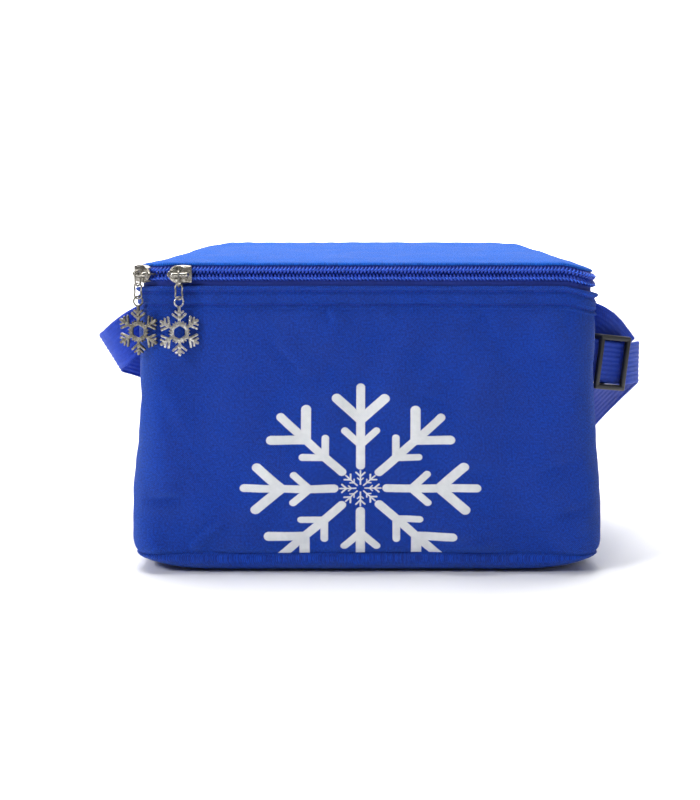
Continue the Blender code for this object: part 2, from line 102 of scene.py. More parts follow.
class Nodes:
    """A short way to write shader nodes."""

    def __init__(self, mat):
        self.tree = mat.node_tree

    def add(self, kind, **values):
        node = self.tree.nodes.new(kind)
        for key, value in values.items():
            setattr(node, key, value)
        return node

    def plug(self, value, socket):
        if isinstance(value, bpy.types.NodeSocket):
            self.tree.links.new(value, socket)
        else:
            socket.default_value = value

    def math(self, operation, a, b=0.0, c=0.0, clamp=False):
        node = self.add("ShaderNodeMath", operation=operation, use_clamp=clamp)
        for value, socket in zip((a, b, c), node.inputs):
            self.plug(value, socket)
        return node.outputs[0]

    def noise(self, vector, scale, detail=3.0, rough=0.55):
        node = self.add("ShaderNodeTexNoise")
        self.plug(vector, node.inputs["Vector"])
        node.inputs["Scale"].default_value = scale
        node.inputs["Detail"].default_value = detail
        node.inputs["Roughness"].default_value = rough
        return node.outputs["Fac"]

    def ramp(self, value, low, high, out_low=0.0, out_high=1.0):
        node = self.add("ShaderNodeMapRange")
        node.interpolation_type = "SMOOTHSTEP"
        for item, socket in zip((value, low, high, out_low, out_high), node.inputs):
            self.plug(item, socket)
        return node.outputs[0]

    def mix(self, factor, a, b):
        node = self.add("ShaderNodeMix", data_type="RGBA")
        self.plug(factor, node.inputs[0])
        self.plug(a, node.inputs[6])
        self.plug(b, node.inputs[7])
        return node.outputs[2]

    def uv(self):
        node = self.add("ShaderNodeUVMap", uv_map="UVMap")
        split = self.add("ShaderNodeSeparateXYZ")
        self.plug(node.outputs[0], split.inputs[0])
        return node.outputs[0], split.outputs[0], split.outputs[1]

    def bump(self, height, strength, distance, normal=None):
        node = self.add("ShaderNodeBump")
        node.inputs["Strength"].default_value = strength
        node.inputs["Distance"].default_value = distance
        self.plug(height, node.inputs["Height"])
        if normal is not None:
            self.plug(normal, node.inputs["Normal"])
        return node.outputs[0]


def new_material(name, color, roughness, metallic=0.0):
    mat = bpy.data.materials.new(name)
    mat.use_nodes = True
    shader = mat.node_tree.nodes["Principled BSDF"]
    shader.inputs["Base Color"].default_value = (*color, 1)
    shader.inputs["Roughness"].default_value = roughness
    shader.inputs["Metallic"].default_value = metallic
    mat.diffuse_color = (*color, 1)
    return mat, shader, Nodes(mat)


def twill_height(n, u, v, pitch):
    """Diagonal ribs broken into short floats, as twill cloth shows. UVs are in mm."""
    diagonal = n.math("SINE", n.math("MULTIPLY", n.math("ADD", u, v), 2 * math.pi / pitch))
    across = n.math(
        "SINE", n.math("MULTIPLY", n.math("SUBTRACT", u, v), 2 * math.pi / (pitch * 0.62))
    )
    return n.math("ADD", n.math("MULTIPLY", diagonal, 0.65), n.math("MULTIPLY", across, 0.35))


def arm_distance(n, x, y, a, b):
    """Distance from a point to the segment a-b."""
    dx, dy = b[0] - a[0], b[1] - a[1]
    length2 = dx * dx + dy * dy
    px = n.math("SUBTRACT", x, a[0])
    py = n.math("SUBTRACT", y, a[1])
    dot = n.math("ADD", n.math("MULTIPLY", px, dx), n.math("MULTIPLY", py, dy))
    t = n.math("DIVIDE", dot, length2, clamp=True)
    qx = n.math("SUBTRACT", px, n.math("MULTIPLY", t, dx))
    qy = n.math("SUBTRACT", py, n.math("MULTIPLY", t, dy))
    return n.math(
        "SQRT", n.math("ADD", n.math("MULTIPLY", qx, qx), n.math("MULTIPLY", qy, qy))
    )


def snowflake_mask(n, x, y):
    """Signed distance to a plain eight-armed snowflake of unit radius, below 0 inside."""
    radius = n.math(
        "SQRT", n.math("ADD", n.math("MULTIPLY", x, x), n.math("MULTIPLY", y, y))
    )
    angle = n.math("ARCTAN2", y, x)
    turn = math.pi / 4
    folded = n.math(
        "SUBTRACT",
        n.math("FLOORED_MODULO", n.math("ADD", angle, turn / 2 + 8 * turn), turn),
        turn / 2,
    )
    ax = n.math("MULTIPLY", radius, n.math("COSINE", folded))
    ay = n.math("ABSOLUTE", n.math("MULTIPLY", radius, n.math("SINE", folded)))
    stem = n.math("SUBTRACT", arm_distance(n, ax, ay, (0.22, 0), (0.965, 0)), 0.038)
    outer = n.math(
        "SUBTRACT", arm_distance(n, ax, ay, (0.655, 0.0), (0.865, 0.205)), 0.043
    )
    inner = n.math(
        "SUBTRACT", arm_distance(n, ax, ay, (0.42, 0.0), (0.556, 0.134)), 0.032
    )
    return n.math("MINIMUM", stem, n.math("MINIMUM", outer, inner))


def fabric_material(name, color, dark, sheen=0.2, pitch=0.8, printed=False):
    mat, shader, n = new_material(name, color, 0.78)
    vector, u, v = n.uv()
    height = twill_height(n, u, v, pitch)
    cloud = n.noise(vector, 0.045, 4.0)
    mottled = n.noise(vector, 1.15, 2.0)
    # The twill height term darkens the weave's low ribs: painted shade of the weave's relief. The cloud and mottled
    # terms are random tone.
    shade = n.math(
        "ADD",
        n.math("MULTIPLY", n.math("SUBTRACT", height, 0.0), 0.75),
        n.math(
            "ADD",
            n.math("MULTIPLY", n.math("SUBTRACT", cloud, 0.5), 0.75),
            n.math("MULTIPLY", n.math("SUBTRACT", mottled, 0.5), 3.2),
        ),
    )
    factor = n.math("ADD", 0.5, shade, clamp=True)
    base = n.mix(factor, (*dark, 1), (*color, 1))
    bump = n.bump(height, 0.9, 0.00022)
    rough = n.ramp(cloud, 0.3, 0.7, 0.70, 0.84)
    if printed:
        x = n.math("DIVIDE", n.math("ADD", u, 2.9), 51.9)
        y = n.math("DIVIDE", n.math("SUBTRACT", v, 39.3), 47.0)
        big = snowflake_mask(n, x, y)
        small = snowflake_mask(
            n, n.math("DIVIDE", x, 0.177), n.math("DIVIDE", y, 0.177)
        )
        small = n.math("MULTIPLY", small, 0.177)
        # The ink's edge wanders a little over the threads.
        edge = n.math("MULTIPLY", n.math("SUBTRACT", n.noise(vector, 2.6, 2.0), 0.5), 0.006)
        dist = n.math("ADD", n.math("MINIMUM", big, small), edge)
        ink = n.ramp(dist, -0.0035, 0.0035, 1.0, 0.0)
        ink_tone = n.noise(vector, 0.35, 3.0)
        white = n.mix(
            ink_tone, (0.66, 0.68, 0.70, 1), (0.84, 0.85, 0.86, 1)
        )
        pin = n.ramp(n.noise(vector, 5.5, 2.0), 0.26, 0.20, 0.0, 0.55)
        cover = n.math("MULTIPLY", ink, n.math("SUBTRACT", 1.0, pin))
        base = n.mix(cover, base, white)
        rough_mix = n.add("ShaderNodeMix", data_type="FLOAT")
        n.plug(ink, rough_mix.inputs[0])
        n.plug(rough, rough_mix.inputs[2])
        rough_mix.inputs[3].default_value = 0.6
        rough = rough_mix.outputs[0]
        step = n.math(
            "ADD",
            n.math("MULTIPLY", height, n.math("SUBTRACT", 1.0, n.math("MULTIPLY", ink, 0.55))),
            n.math("MULTIPLY", ink, 1.6),
        )
        bump = n.bump(step, 0.9, 0.00022)
    n.plug(base, shader.inputs["Base Color"])
    n.plug(rough, shader.inputs["Roughness"])
    n.plug(bump, shader.inputs["Normal"])
    shader.inputs["Sheen Weight"].default_value = sheen
    shader.inputs["Sheen Roughness"].default_value = 0.45
    shader.inputs["Sheen Tint"].default_value = (0.15, 0.42, 1.0, 1)
    shader.inputs["Specular IOR Level"].default_value = 0.3
    return mat


def tape_material(name, color, dark, pitch=0.55):
    """Plain woven tape: fine ribs across its length."""
    mat, shader, n = new_material(name, color, 0.8)
    vector, u, v = n.uv()
    ribs = n.math("SINE", n.math("MULTIPLY", u, 2 * math.pi / pitch))
    fill = n.math("SINE", n.math("MULTIPLY", v, 2 * math.pi / (pitch * 1.15)))
    height = n.math("ADD", n.math("MULTIPLY", ribs, 0.6), n.math("MULTIPLY", fill, 0.4))
    tone = n.noise(vector, 0.6, 3.0)
    # The rib height term darkens the tape's low ribs: painted shade of the weave's relief. The tone noise is random.
    factor = n.math(
        "ADD", n.math("MULTIPLY", height, 0.22), tone, clamp=True
    )
    n.plug(n.mix(factor, (*dark, 1), (*color, 1)), shader.inputs["Base Color"])
    n.plug(n.bump(height, 0.7, 0.00012), shader.inputs["Normal"])
    shader.inputs["Sheen Weight"].default_value = 0.25
    shader.inputs["Sheen Tint"].default_value = (0.35, 0.5, 1.0, 1)
    return mat


def webbing_material(name, color, dark):
    """Ribbed webbing: each rib is crossed by a fine herringbone of weft."""
    mat, shader, n = new_material(name, color, 0.62)
    vector, u, v = n.uv()
    zig = n.math("PINGPONG", v, 1.05)
    weft = n.math(
        "SINE",
        n.math("MULTIPLY", n.math("ADD", u, n.math("MULTIPLY", zig, 0.8)), 2 * math.pi / 0.75),
    )
    tone = n.noise(vector, 0.5, 3.0)
    # The weft term darkens the webbing's low weft: painted shade of its ribs' relief. The tone noise is random.
    factor = n.math("ADD", n.math("MULTIPLY", weft, 0.35), tone, clamp=True)
    n.plug(n.mix(factor, (*dark, 1), (*color, 1)), shader.inputs["Base Color"])
    n.plug(n.bump(weft, 0.6, 0.00014), shader.inputs["Normal"])
    shader.inputs["Sheen Weight"].default_value = 0.12
    shader.inputs["Sheen Tint"].default_value = (0.15, 0.4, 1.0, 1)
    return mat


def metal_material(name, color, dark, roughness):
    mat, shader, n = new_material(name, color, roughness, 1.0)
    where = n.add("ShaderNodeTexCoord").outputs["Object"]
    tarnish = n.noise(where, 900.0, 4.0)
    fine = n.noise(where, 5200.0, 2.0)
    n.plug(
        n.mix(n.ramp(tarnish, 0.35, 0.7), (*dark, 1), (*color, 1)),
        shader.inputs["Base Color"],
    )
    n.plug(
        n.ramp(tarnish, 0.3, 0.7, roughness + 0.14, roughness - 0.06),
        shader.inputs["Roughness"],
    )
    n.plug(n.bump(fine, 0.12, 0.00002), shader.inputs["Normal"])
    return mat


def plastic_material(name, color, roughness, grain=2600.0, strength=0.3):
    mat, shader, n = new_material(name, color, roughness)
    where = n.add("ShaderNodeTexCoord").outputs["Object"]
    fine = n.noise(where, grain, 3.0)
    cloud = n.noise(where, 160.0, 3.0)
    light = tuple(min(1.0, c * 1.5 + 0.006) for c in color)
    n.plug(n.mix(cloud, (*color, 1), (*light, 1)), shader.inputs["Base Color"])
    n.plug(n.ramp(cloud, 0.3, 0.7, roughness - 0.06, roughness + 0.1), shader.inputs["Roughness"])
    n.plug(n.bump(fine, strength, 0.00005), shader.inputs["Normal"])
    return mat


def foil_material(name):
    """Aluminised film over foam: silver and finely crinkled."""
    mat, shader, n = new_material(name, (0.80, 0.81, 0.83), 0.28, 0.9)
    vector, u, v = n.uv()
    crinkle = n.add("ShaderNodeTexVoronoi", feature="DISTANCE_TO_EDGE")
    n.plug(vector, crinkle.inputs["Vector"])
    crinkle.inputs["Scale"].default_value = 0.16
    warp = n.noise(vector, 0.35, 5.0, 0.65)
    height = n.math(
        "ADD", n.math("MULTIPLY", n.ramp(crinkle.outputs[0], 0.0, 0.35), 0.6), warp
    )
    tone = n.noise(vector, 0.9, 3.0)
    n.plug(
        n.mix(tone, (0.62, 0.64, 0.67, 1), (0.88, 0.89, 0.9, 1)),
        shader.inputs["Base Color"],
    )
    n.plug(n.ramp(tone, 0.3, 0.7, 0.22, 0.38), shader.inputs["Roughness"])
    n.plug(n.bump(height, 0.6, 0.0007), shader.inputs["Normal"])
    return mat


def foam_material(name):
    mat, shader, n = new_material(name, (0.86, 0.86, 0.83), 0.9)
    where = n.add("ShaderNodeTexCoord").outputs["Object"]
    cells = n.add("ShaderNodeTexVoronoi")
    n.plug(where, cells.inputs["Vector"])
    cells.inputs["Scale"].default_value = 900.0
    n.plug(
        n.mix(cells.outputs["Distance"], (0.88, 0.88, 0.86, 1), (0.74, 0.74, 0.71, 1)),
        shader.inputs["Base Color"],
    )
    n.plug(n.bump(cells.outputs["Distance"], 0.5, 0.0003), shader.inputs["Normal"])
    return mat


def floor_material():
    mat, shader, n = new_material("studio_floor", (0.93, 0.93, 0.94), 0.75)
    where = n.add("ShaderNodeTexCoord").outputs["Object"]
    tone = n.noise(where, 3.0, 2.0)
    n.plug(
        n.mix(tone, (0.925, 0.925, 0.93, 1), (0.935, 0.935, 0.94, 1)),
        shader.inputs["Base Color"],
    )
    shader.inputs["Specular IOR Level"].default_value = 0.1
    return mat


FRONT_BLUE, FRONT_DARK = (0.0022, 0.062, 0.56), (0.0008, 0.022, 0.22)
M_BODY = fabric_material("printed_twill", FRONT_BLUE, FRONT_DARK, printed=True)
M_SIDE = fabric_material("blue_twill", FRONT_BLUE, FRONT_DARK)
# The lid is the same blue twill as the body, in lighter colours: painted light for the stronger top light on its upward
# face.
M_LID_PAINTED_LIGHT = fabric_material("lid_twill", (0.0045, 0.145, 0.76), (0.002, 0.08, 0.47), sheen=0.2)
M_TAPE = tape_material("zip_tape_weave", (0.012, 0.045, 0.40), (0.006, 0.02, 0.2))
M_BINDING = tape_material("binding_weave", (0.012, 0.04, 0.33), (0.006, 0.02, 0.17), 0.8)
M_COIL = plastic_material("nylon_coil", (0.008, 0.04, 0.36), 0.34, 4000.0, 0.15)
M_COIL_THREAD = plastic_material("coil_thread", (0.02, 0.11, 0.66), 0.5, 7000.0, 0.4)
M_THREAD = plastic_material("sewing_thread", (0.009, 0.036, 0.34), 0.65, 7000.0, 0.6)
M_WEB = webbing_material("ribbed_webbing", (0.006, 0.062, 0.60), (0.003, 0.03, 0.34))
M_NICKEL = metal_material("slider_plate", (0.51, 0.49, 0.44), (0.23, 0.21, 0.18), 0.24)
M_CHARM = metal_material("charm_plate", (0.69, 0.67, 0.63), (0.33, 0.31, 0.28), 0.28)
M_CHARM_DARK = metal_material("charm_plate_dark", (0.34, 0.32, 0.27), (0.13, 0.12, 0.10), 0.3)
M_BLACK = plastic_material("black_acetal", (0.012, 0.012, 0.014), 0.36)
M_FOIL = foil_material("crinkled_foil")
M_FOAM = foam_material("white_foam")
floor.data.materials.append(floor_material())
glow, glow_shader, glow_nodes = new_material("studio_backdrop", (0.9, 0.9, 0.9), 0.9)
glow_shader.inputs["Emission Color"].default_value = (1, 1, 1, 1)
glow_shader.inputs["Emission Strength"].default_value = 1.0
backdrop.data.materials.append(glow)

# ---------------------------------------------------------------- mesh helpers


def made(name, verts, faces, uvs, mat, smooth=True, angle=None):
    """A mesh object from points in mm, with one UV (in mm) per face corner."""
    mesh = bpy.data.meshes.new(name)
    mesh.from_pydata((np.asarray(verts) * MM).tolist(), [], faces)
    if uvs is not None:
        layer = mesh.uv_layers.new(name="UVMap")
        layer.data.foreach_set("uv", np.asarray(uvs, np.float32).ravel())
    bm = bmesh.new()
    bm.from_mesh(mesh)
    bmesh.ops.recalc_face_normals(bm, faces=bm.faces)
    bm.to_mesh(mesh)
    bm.free()
    if smooth:
        mesh.shade_smooth()
        if angle:
            mesh.set_sharp_from_angle(angle=math.radians(angle))
    mesh.materials.append(mat)
    obj = bpy.data.objects.new(name, mesh)
    scene.collection.objects.link(obj)
    return obj


def grid_faces(rows, cols, wrap_r=False, wrap_c=False, base=0):
    """Quads of a rows x cols grid, and each corner's unwrapped (row, col)."""
    r = np.arange(rows if wrap_r else rows - 1)
    c = np.arange(cols if wrap_c else cols - 1)
    rr, cc = np.meshgrid(r, c, indexing="ij")
    rr, cc = rr.ravel(), cc.ravel()
    corners = [(rr, cc), (rr + 1, cc), (rr + 1, cc + 1), (rr, cc + 1)]
    faces = np.stack([base + (a % rows) * cols + (b % cols) for a, b in corners], 1)
    cells = np.stack([np.stack([a, b], 1) for a, b in corners], 1)
    return faces, cells


def sheet(name, P, UV, mat, wrap_r=False, wrap_c=False, caps=False, **keys):
    """A grid of points. UV has one more row or column than P where P wraps."""
    rows, cols = P.shape[:2]
    faces, cells = grid_faces(rows, cols, wrap_r, wrap_c)
    uvs = UV[cells[..., 0], cells[..., 1]].reshape(-1, 2)
    faces = faces.tolist()
    if caps and wrap_c:
        ends = [list(range(cols))[::-1], [(rows - 1) * cols + i for i in range(cols)]]
        faces += ends
        uvs = np.concatenate([uvs, UV[0, :cols][::-1], UV[rows - 1, :cols]])
    return made(name, P.reshape(-1, 3), faces, uvs, mat, **keys)


def many(name, shapes, mat, **keys):
    """Many closed tubes in one mesh. Each shape is a (rows, cols, 3) grid, capped."""
    verts, faces, uvs, base = [], [], [], 0
    for P in shapes:
        rows, cols = P.shape[:2]
        quads, cells = grid_faces(rows, cols, False, True, base)
        verts.append(P.reshape(-1, 3))
        faces += quads.tolist()
        faces += [
            [base + i for i in range(cols)][::-1],
            [base + (rows - 1) * cols + i for i in range(cols)],
        ]
        uvs.append(cells.reshape(-1, 2) * 0.3)
        uvs.append(np.zeros((2 * cols, 2)))
        base += rows * cols
    return made(name, np.concatenate(verts), faces, np.concatenate(uvs), mat, **keys)


def frames_along(points, closed=False, up=None):
    """Tangents and two side vectors along a route."""
    p = np.asarray(points, float)
    ahead = np.roll(p, -1, 0) if closed else np.vstack([p[1:], p[-1:] * 2 - p[-2:-1]])
    behind = np.roll(p, 1, 0) if closed else np.vstack([p[:1] * 2 - p[1:2], p[:-1]])
    t = ahead - behind
    t /= np.linalg.norm(t, axis=1, keepdims=True)
    side = np.zeros_like(t)
    last = np.array(up if up is not None else (0.13, 0.27, 1.0), float)
    for i in range(len(p)):
        ref = np.array(up, float) if up is not None else last
        v = ref - ref.dot(t[i]) * t[i]
        side[i] = v / np.linalg.norm(v)
        last = side[i]
    return t, side, np.cross(t, side)


def tube(points, radius, sides=10, closed=False, flat=1.0, up=None, round_ends=False):
    """Points of a tube round a route. flat squeezes its second axis."""
    p = np.asarray(points, float)
    t, a, b = frames_along(p, closed, up)
    r = np.broadcast_to(np.asarray(radius, float), (len(p),)).copy()
    if round_ends:
        first, last = p[0] - t[0] * r[0] * 0.6, p[-1] + t[-1] * r[-1] * 0.6
        p = np.vstack([first, p, last])
        t = np.vstack([t[:1], t, t[-1:]])
        a = np.vstack([a[:1], a, a[-1:]])
        b = np.vstack([b[:1], b, b[-1:]])
        r = np.concatenate([[r[0] * 0.45], r, [r[-1] * 0.45]])
    turn = np.linspace(0, 2 * np.pi, sides, endpoint=False)
    return (
        p[:, None]
        + (np.cos(turn)[None, :, None] * a[:, None] * r[:, None, None])
        + (np.sin(turn)[None, :, None] * b[:, None] * (r * flat)[:, None, None])
    )


def closed_tube(name, points, radius, mat, sides=14, **keys):
    P = tube(points, radius, sides, closed=True, **keys)
    rows, cols = P.shape[:2]
    UV = np.stack(np.meshgrid(np.arange(rows + 1), np.arange(cols + 1), indexing="ij"), -1) * 0.4
    return sheet(name, P, UV, mat, wrap_r=True, wrap_c=True)


def smoothstep(a, b, x):
    t = np.clip((np.asarray(x, float) - a) / (b - a), 0, 1)
    return t * t * (3 - 2 * t)


def waves(seed, low, high, count, x, y):
    """Soft random undulation between -1 and 1, for wavelengths low to high in mm."""
    rng = np.random.default_rng(seed)
    total = 0.0
    for _ in range(count):
        length = math.exp(rng.uniform(math.log(low), math.log(high)))
        angle, phase = rng.uniform(0, 2 * math.pi), rng.uniform(0, 2 * math.pi)
        k = 2 * math.pi / length
        total = total + np.sin(k * (x * math.cos(angle) + y * math.sin(angle)) + phase)
    return total / math.sqrt(count) / 1.4


def route_through(points, per=10):
    """A smooth curve through points (centripetal in effect: points are evenly spread)."""
    p = [np.array(q, float) for q in points]
    p = [2 * p[0] - p[1], *p, 2 * p[-1] - p[-2]]
    out = []
    for a, b, c, d in zip(p, p[1:], p[2:], p[3:]):
        for i in range(per):
            t = i / per
            out.append(
                0.5 * (2 * b + (c - a) * t + (2 * a - 5 * b + 4 * c - d) * t * t
                       + (3 * b - a - 3 * c + d) * t**3)
            )
    out.append(p[-2])
    return np.array(out)


def evenly(points, step):
    """The same route with points a fixed distance apart."""
    p = np.asarray(points, float)
    d = np.concatenate([[0], np.cumsum(np.linalg.norm(np.diff(p, axis=0), axis=1))])
    n = max(2, int(round(d[-1] / step)) + 1)
    s = np.linspace(0, d[-1], n)
    return np.stack([np.interp(s, d, p[:, k]) for k in range(3)], 1), s

# ---------------------------------------------------------------- the bag's form

HALF_Y = 73.0
BACK_SEAM_Y = 59.0
FOLD_X = 67.0  # where the lid's flat top breaks down towards its back corners


def sag(x, y):
    """How far the rim and lid sink at a plan position: most at the back corners."""
    x, y = np.broadcast_arrays(np.asarray(x, float), np.asarray(y, float))
    back = np.clip((y + 73) / 146, 0, 1)
    start = FOLD_X + (72 - y) * 0.13
    q = np.clip((np.abs(x) - start) / (101 - start), 0, 1.1)
    near = np.where(x < 0, 0.4, 3.2)
    depth = near + (8.2 - near) * back**0.8
    return -depth * (0.45 * q**2 * (3 - 2 * np.clip(q, 0, 1)) + 0.55 * q)


def rim_warp(P, low=74.0, high=126.0):
    """Moves points down with the sagging rim, less the further below it they are."""
    P = np.array(P, float)
    w = smoothstep(low, high, P[..., 2])
    P[..., 2] += w * sag(P[..., 0], P[..., 1])
    return P


def half_x(z):
    return np.interp(
        z,
        [0, 9.3, 16, 25, 36, 50, 63, 77, 96, 114, 131],
        [104.4, 104.7, 105.3, 105.4, 105.0, 103.7, 102.4, 101.3, 101.1, 101.4, 101.5],
    )


def half_y(z):
    return np.interp(
        z, [0, 9.3, 20, 34, 60, 90, 120, 134], [72.3, 72.8, 73.6, 74.0, 73.8, 73.4, 73.0, 72.9]
    )


ARC = 12.8 * math.pi / 2
SIDE = BACK_SEAM_Y + 60.2
FRONT = 2 * (101.5 - 12.8)
STUB = 60.2 - BACK_SEAM_Y
S_FRONT = SIDE + ARC  # where the straight front starts
S_MID = S_FRONT + FRONT / 2
S_WRAP = 2 * SIDE + 2 * ARC + FRONT
S_ALL = S_WRAP + 2 * STUB + 2 * ARC + FRONT


def plan(s, hx, hy, r):
    """Plan position and outward normal at distance s round the bag, from the left back seam forward."""
    s, hx, hy, r = np.broadcast_arrays(
        *[np.asarray(v, float) for v in (np.mod(s, S_ALL + 1e-9), hx, hy, r)]
    )
    x, y, nx, ny = (np.zeros(s.shape) for _ in range(4))
    start = 0.0
    parts = (
        ("line", SIDE, (-1, BACK_SEAM_Y), (-1, None)),
        ("arc", ARC, (-1, -1), 180),
        ("front", FRONT, None, None),
        ("arc", ARC, (1, -1), 270),
        ("line", SIDE, (1, None), (1, BACK_SEAM_Y)),
        ("line", STUB, (1, BACK_SEAM_Y), (1, "back")),
        ("arc", ARC, (1, 1), 0),
        ("rear", FRONT, None, None),
        ("arc", ARC, (-1, 1), 90),
        ("line", STUB, (-1, "back"), (-1, BACK_SEAM_Y)),
    )
    for kind, length, a, b in parts:
        m = (s >= start - 1e-9) & (s <= start + length + 1e-9)
        t = np.clip((s[m] - start) / length, 0, 1)
        X, Y, R = hx[m], hy[m], r[m]
        if kind == "arc":
            ang = np.radians(b + 90 * t)
            nx[m], ny[m] = np.cos(ang), np.sin(ang)
            x[m] = a[0] * (X - R) + R * nx[m]
            y[m] = a[1] * (Y - R) + R * ny[m]
        elif kind in ("front", "rear"):
            d = 1 if kind == "front" else -1
            x[m] = d * (2 * t - 1) * (X - R)
            y[m] = -d * Y
            ny[m] = -d
        else:
            ends = []
            for e in (a[1], b[1]):
                if e is None:
                    ends.append(-(Y - R))
                elif e == "back":
                    ends.append(Y - R)
                else:
                    ends.append(np.full_like(Y, e))
            x[m] = a[0] * X
            y[m] = ends[0] * (1 - t) + ends[1] * t
            nx[m] = a[0]
        start += length
    return x, y, nx, ny


def crease(x, z, a, b, depth, width, ridge=0.5):
    """A crease from a to b on a face: a valley with a low ridge along one side."""
    a, b = np.array(a, float), np.array(b, float)
    d = b - a
    length = np.linalg.norm(d)
    d /= length
    along = (x - a[0]) * d[0] + (z - a[1]) * d[1]
    off = (x - a[0]) * -d[1] + (z - a[1]) * d[0]
    # The crease runs a little crooked and fades at both ends.
    off = off + 0.6 * np.sin(along / length * 5.0)
    t = along / length
    fade = smoothstep(-0.12, 0.22, t) * (1 - smoothstep(0.72, 1.15, t))
    shape = -np.exp(-((off / width) ** 2)) + ridge * np.exp(-(((off - 1.9 * width) / (1.5 * width)) ** 2))
    return depth * fade * shape


def front_creases(x, z):
    out = 0.0
    for a, b, depth, width, ridge in (
        ((-104, 34.5), (-80, 33.8), 1.5, 1.9, 0.7),
        ((-63, 26.0), (-79, 14.0), 1.0, 1.7, 0.8),
        ((-79, 15.0), (-75, 9.0), 0.7, 1.4, 0.6),
        ((64, 17.5), (64.5, 9.0), 0.9, 1.5, 0.8),
        ((50, 117.0), (60.5, 100.0), 0.8, 2.3, 0.7),
        ((4, 94.0), (44, 69.0), 0.55, 3.0, 0.7),
        ((-44, 107.0), (-28, 86.0), 0.6, 2.6, 0.7),
        ((-18.0, 121.5), (-17.0, 113.0), 0.7, 1.5, 0.9),
        ((86, 116.0), (97, 98.0), 0.6, 2.6, 0.6),
        ((-95, 84.0), (-84, 62.0), 0.7, 3.2, 0.6),
        ((-92, 118.0), (-80, 104.0), 0.5, 2.2, 0.6),
        ((72, 46.0), (99, 52.0), 0.7, 3.0, 0.6),
        ((30, 13.0), (58, 18.0), 0.5, 2.5, 0.6),
        ((-40, 12.0), (-12, 15.5), 0.5, 2.4, 0.5),
        ((84, 27.0), (103, 33.0), 0.9, 2.2, 0.7),
    ):
        out = out + crease(x, z, a, b, depth, width, ridge)
    return out


def side_creases(q, z, seed):
    out = 0.55 * waves(seed, 26, 70, 8, q, z)
    rng = np.random.default_rng(seed + 5)
    for _ in range(7):
        a = np.array([rng.uniform(-60, 50), rng.uniform(20, 110)])
        turn = rng.uniform(0.2, 1.3) * rng.choice([-1, 1])
        length = rng.uniform(16, 34)
        b = a + length * np.array([math.cos(turn), -abs(math.sin(turn))])
        out = out + crease(q, z, a, b, rng.uniform(0.4, 0.9), rng.uniform(1.8, 3.0), 0.7)
    return out


HEM_TOP = 129.8
HEM_LOW = 119.6
STITCH_Z = (127.2, 121.4)


def bottom_seam_z(s):
    """The bottom seam's height: a little lower at the corners, where it pinches."""
    c = (np.asarray(s) - S_MID) / (FRONT / 2 + ARC / 2)
    return 9.6 - 1.3 * np.exp(-(((np.abs(c) - 1) / 0.2) ** 2)) + 0.25 * np.sin(np.asarray(s) / 17.0)


def corner_amount(s):
    """1 at the middle of each rounded corner, 0 on the flats."""
    out = 0.0
    for mid in (SIDE + ARC / 2, S_FRONT + FRONT + ARC / 2,
                S_WRAP + STUB + ARC / 2, S_WRAP + STUB + 1.5 * ARC + FRONT):
        out = out + np.exp(-(((s - mid) / 9.0) ** 2))
    return out


def body_out(s, z):
    """How far the fabric stands out from its plain form."""
    s, z = np.broadcast_arrays(np.asarray(s, float), np.asarray(z, float))
    x = s - S_MID
    on_front = smoothstep(S_FRONT - 10, S_FRONT + 6, s) * (
        1 - smoothstep(S_FRONT + FRONT - 6, S_FRONT + FRONT + 10, s)
    )
    left = 1 - smoothstep(SIDE - 8, SIDE + 8, s)
    right = smoothstep(SIDE + 2 * ARC + FRONT - 8, SIDE + 2 * ARC + FRONT + 8, s)
    right = right * (1 - smoothstep(S_WRAP, S_WRAP + 4, s))
    rear = smoothstep(S_WRAP, S_WRAP + 6, s)
    # Creases fade out over the stiff double hem and at the bottom seam.
    free = (1 - 0.75 * smoothstep(HEM_LOW - 3, HEM_LOW + 2, z)) * smoothstep(7, 15, z)
    out = on_front * (1.7 * front_creases(x, z) + (1.7 * waves(11, 30, 85, 9, x, z) + 0.7 * waves(12, 16, 34, 9, x, z))
                      * (1 - 0.75 * np.exp(-(((x + 84) / 20) ** 2)) * smoothstep(88, 100, z)))
    out = out + left * side_creases(-(s - SIDE / 2), z, 21)
    out = out + right * side_creases(s - S_WRAP + SIDE / 2, z, 31)
    out = out + rear * 0.8 * side_creases((s - S_WRAP - ARC - FRONT / 2), z, 41)
    out = out + 0.20 * waves(51, 9, 24, 10, s, z)
    # The foam behind the cloth stops it from sinking in.
    out = (out + 0.55) * free
    out = np.where(out < -0.35, -0.35 - 0.45 * np.tanh((-0.35 - out) / 0.45), out)
    # Hem: a second layer, pulled in by two rows of stitching, with small puckers.
    hem = smoothstep(HEM_LOW - 0.25, HEM_LOW + 0.35, z)
    out = out + (0.75 * hem + 0.55 * np.exp(-(((z - 129.1) / 0.9) ** 2))) * (s < S_WRAP + 1)
    pucker = 0.5 + 0.5 * waves(61, 5.5, 12, 6, s, 0 * s)
    for line in STITCH_Z:
        out = out - (0.85 + 0.6 * pucker) * np.exp(-(((z - line) / 0.8) ** 2)) * (s < S_WRAP + 1)
    out = out + 0.45 * hem * waves(62, 4.5, 13, 7, s + 0.5 * z, 0.5 * z)
    low = np.exp(-(((z - 117.0) / 3.2) ** 2)) * waves(63, 7, 18, 6, s, 0 * s)
    out = out + 0.5 * low
    # Gathers above the bottom seam, and its pinched corners that stand out.
    gather = np.exp(-(((z - 12.5) / 3.5) ** 2)) * waves(64, 8, 26, 8, s, 0 * s)
    out = out + 0.45 * gather
    out = out + 1.3 * corner_amount(s) * np.exp(-(((z - 11) / 6.0) ** 2))
    out = out - 1.0 * np.exp(-(((z - bottom_seam_z(s)) / 1.3) ** 2))
    return out


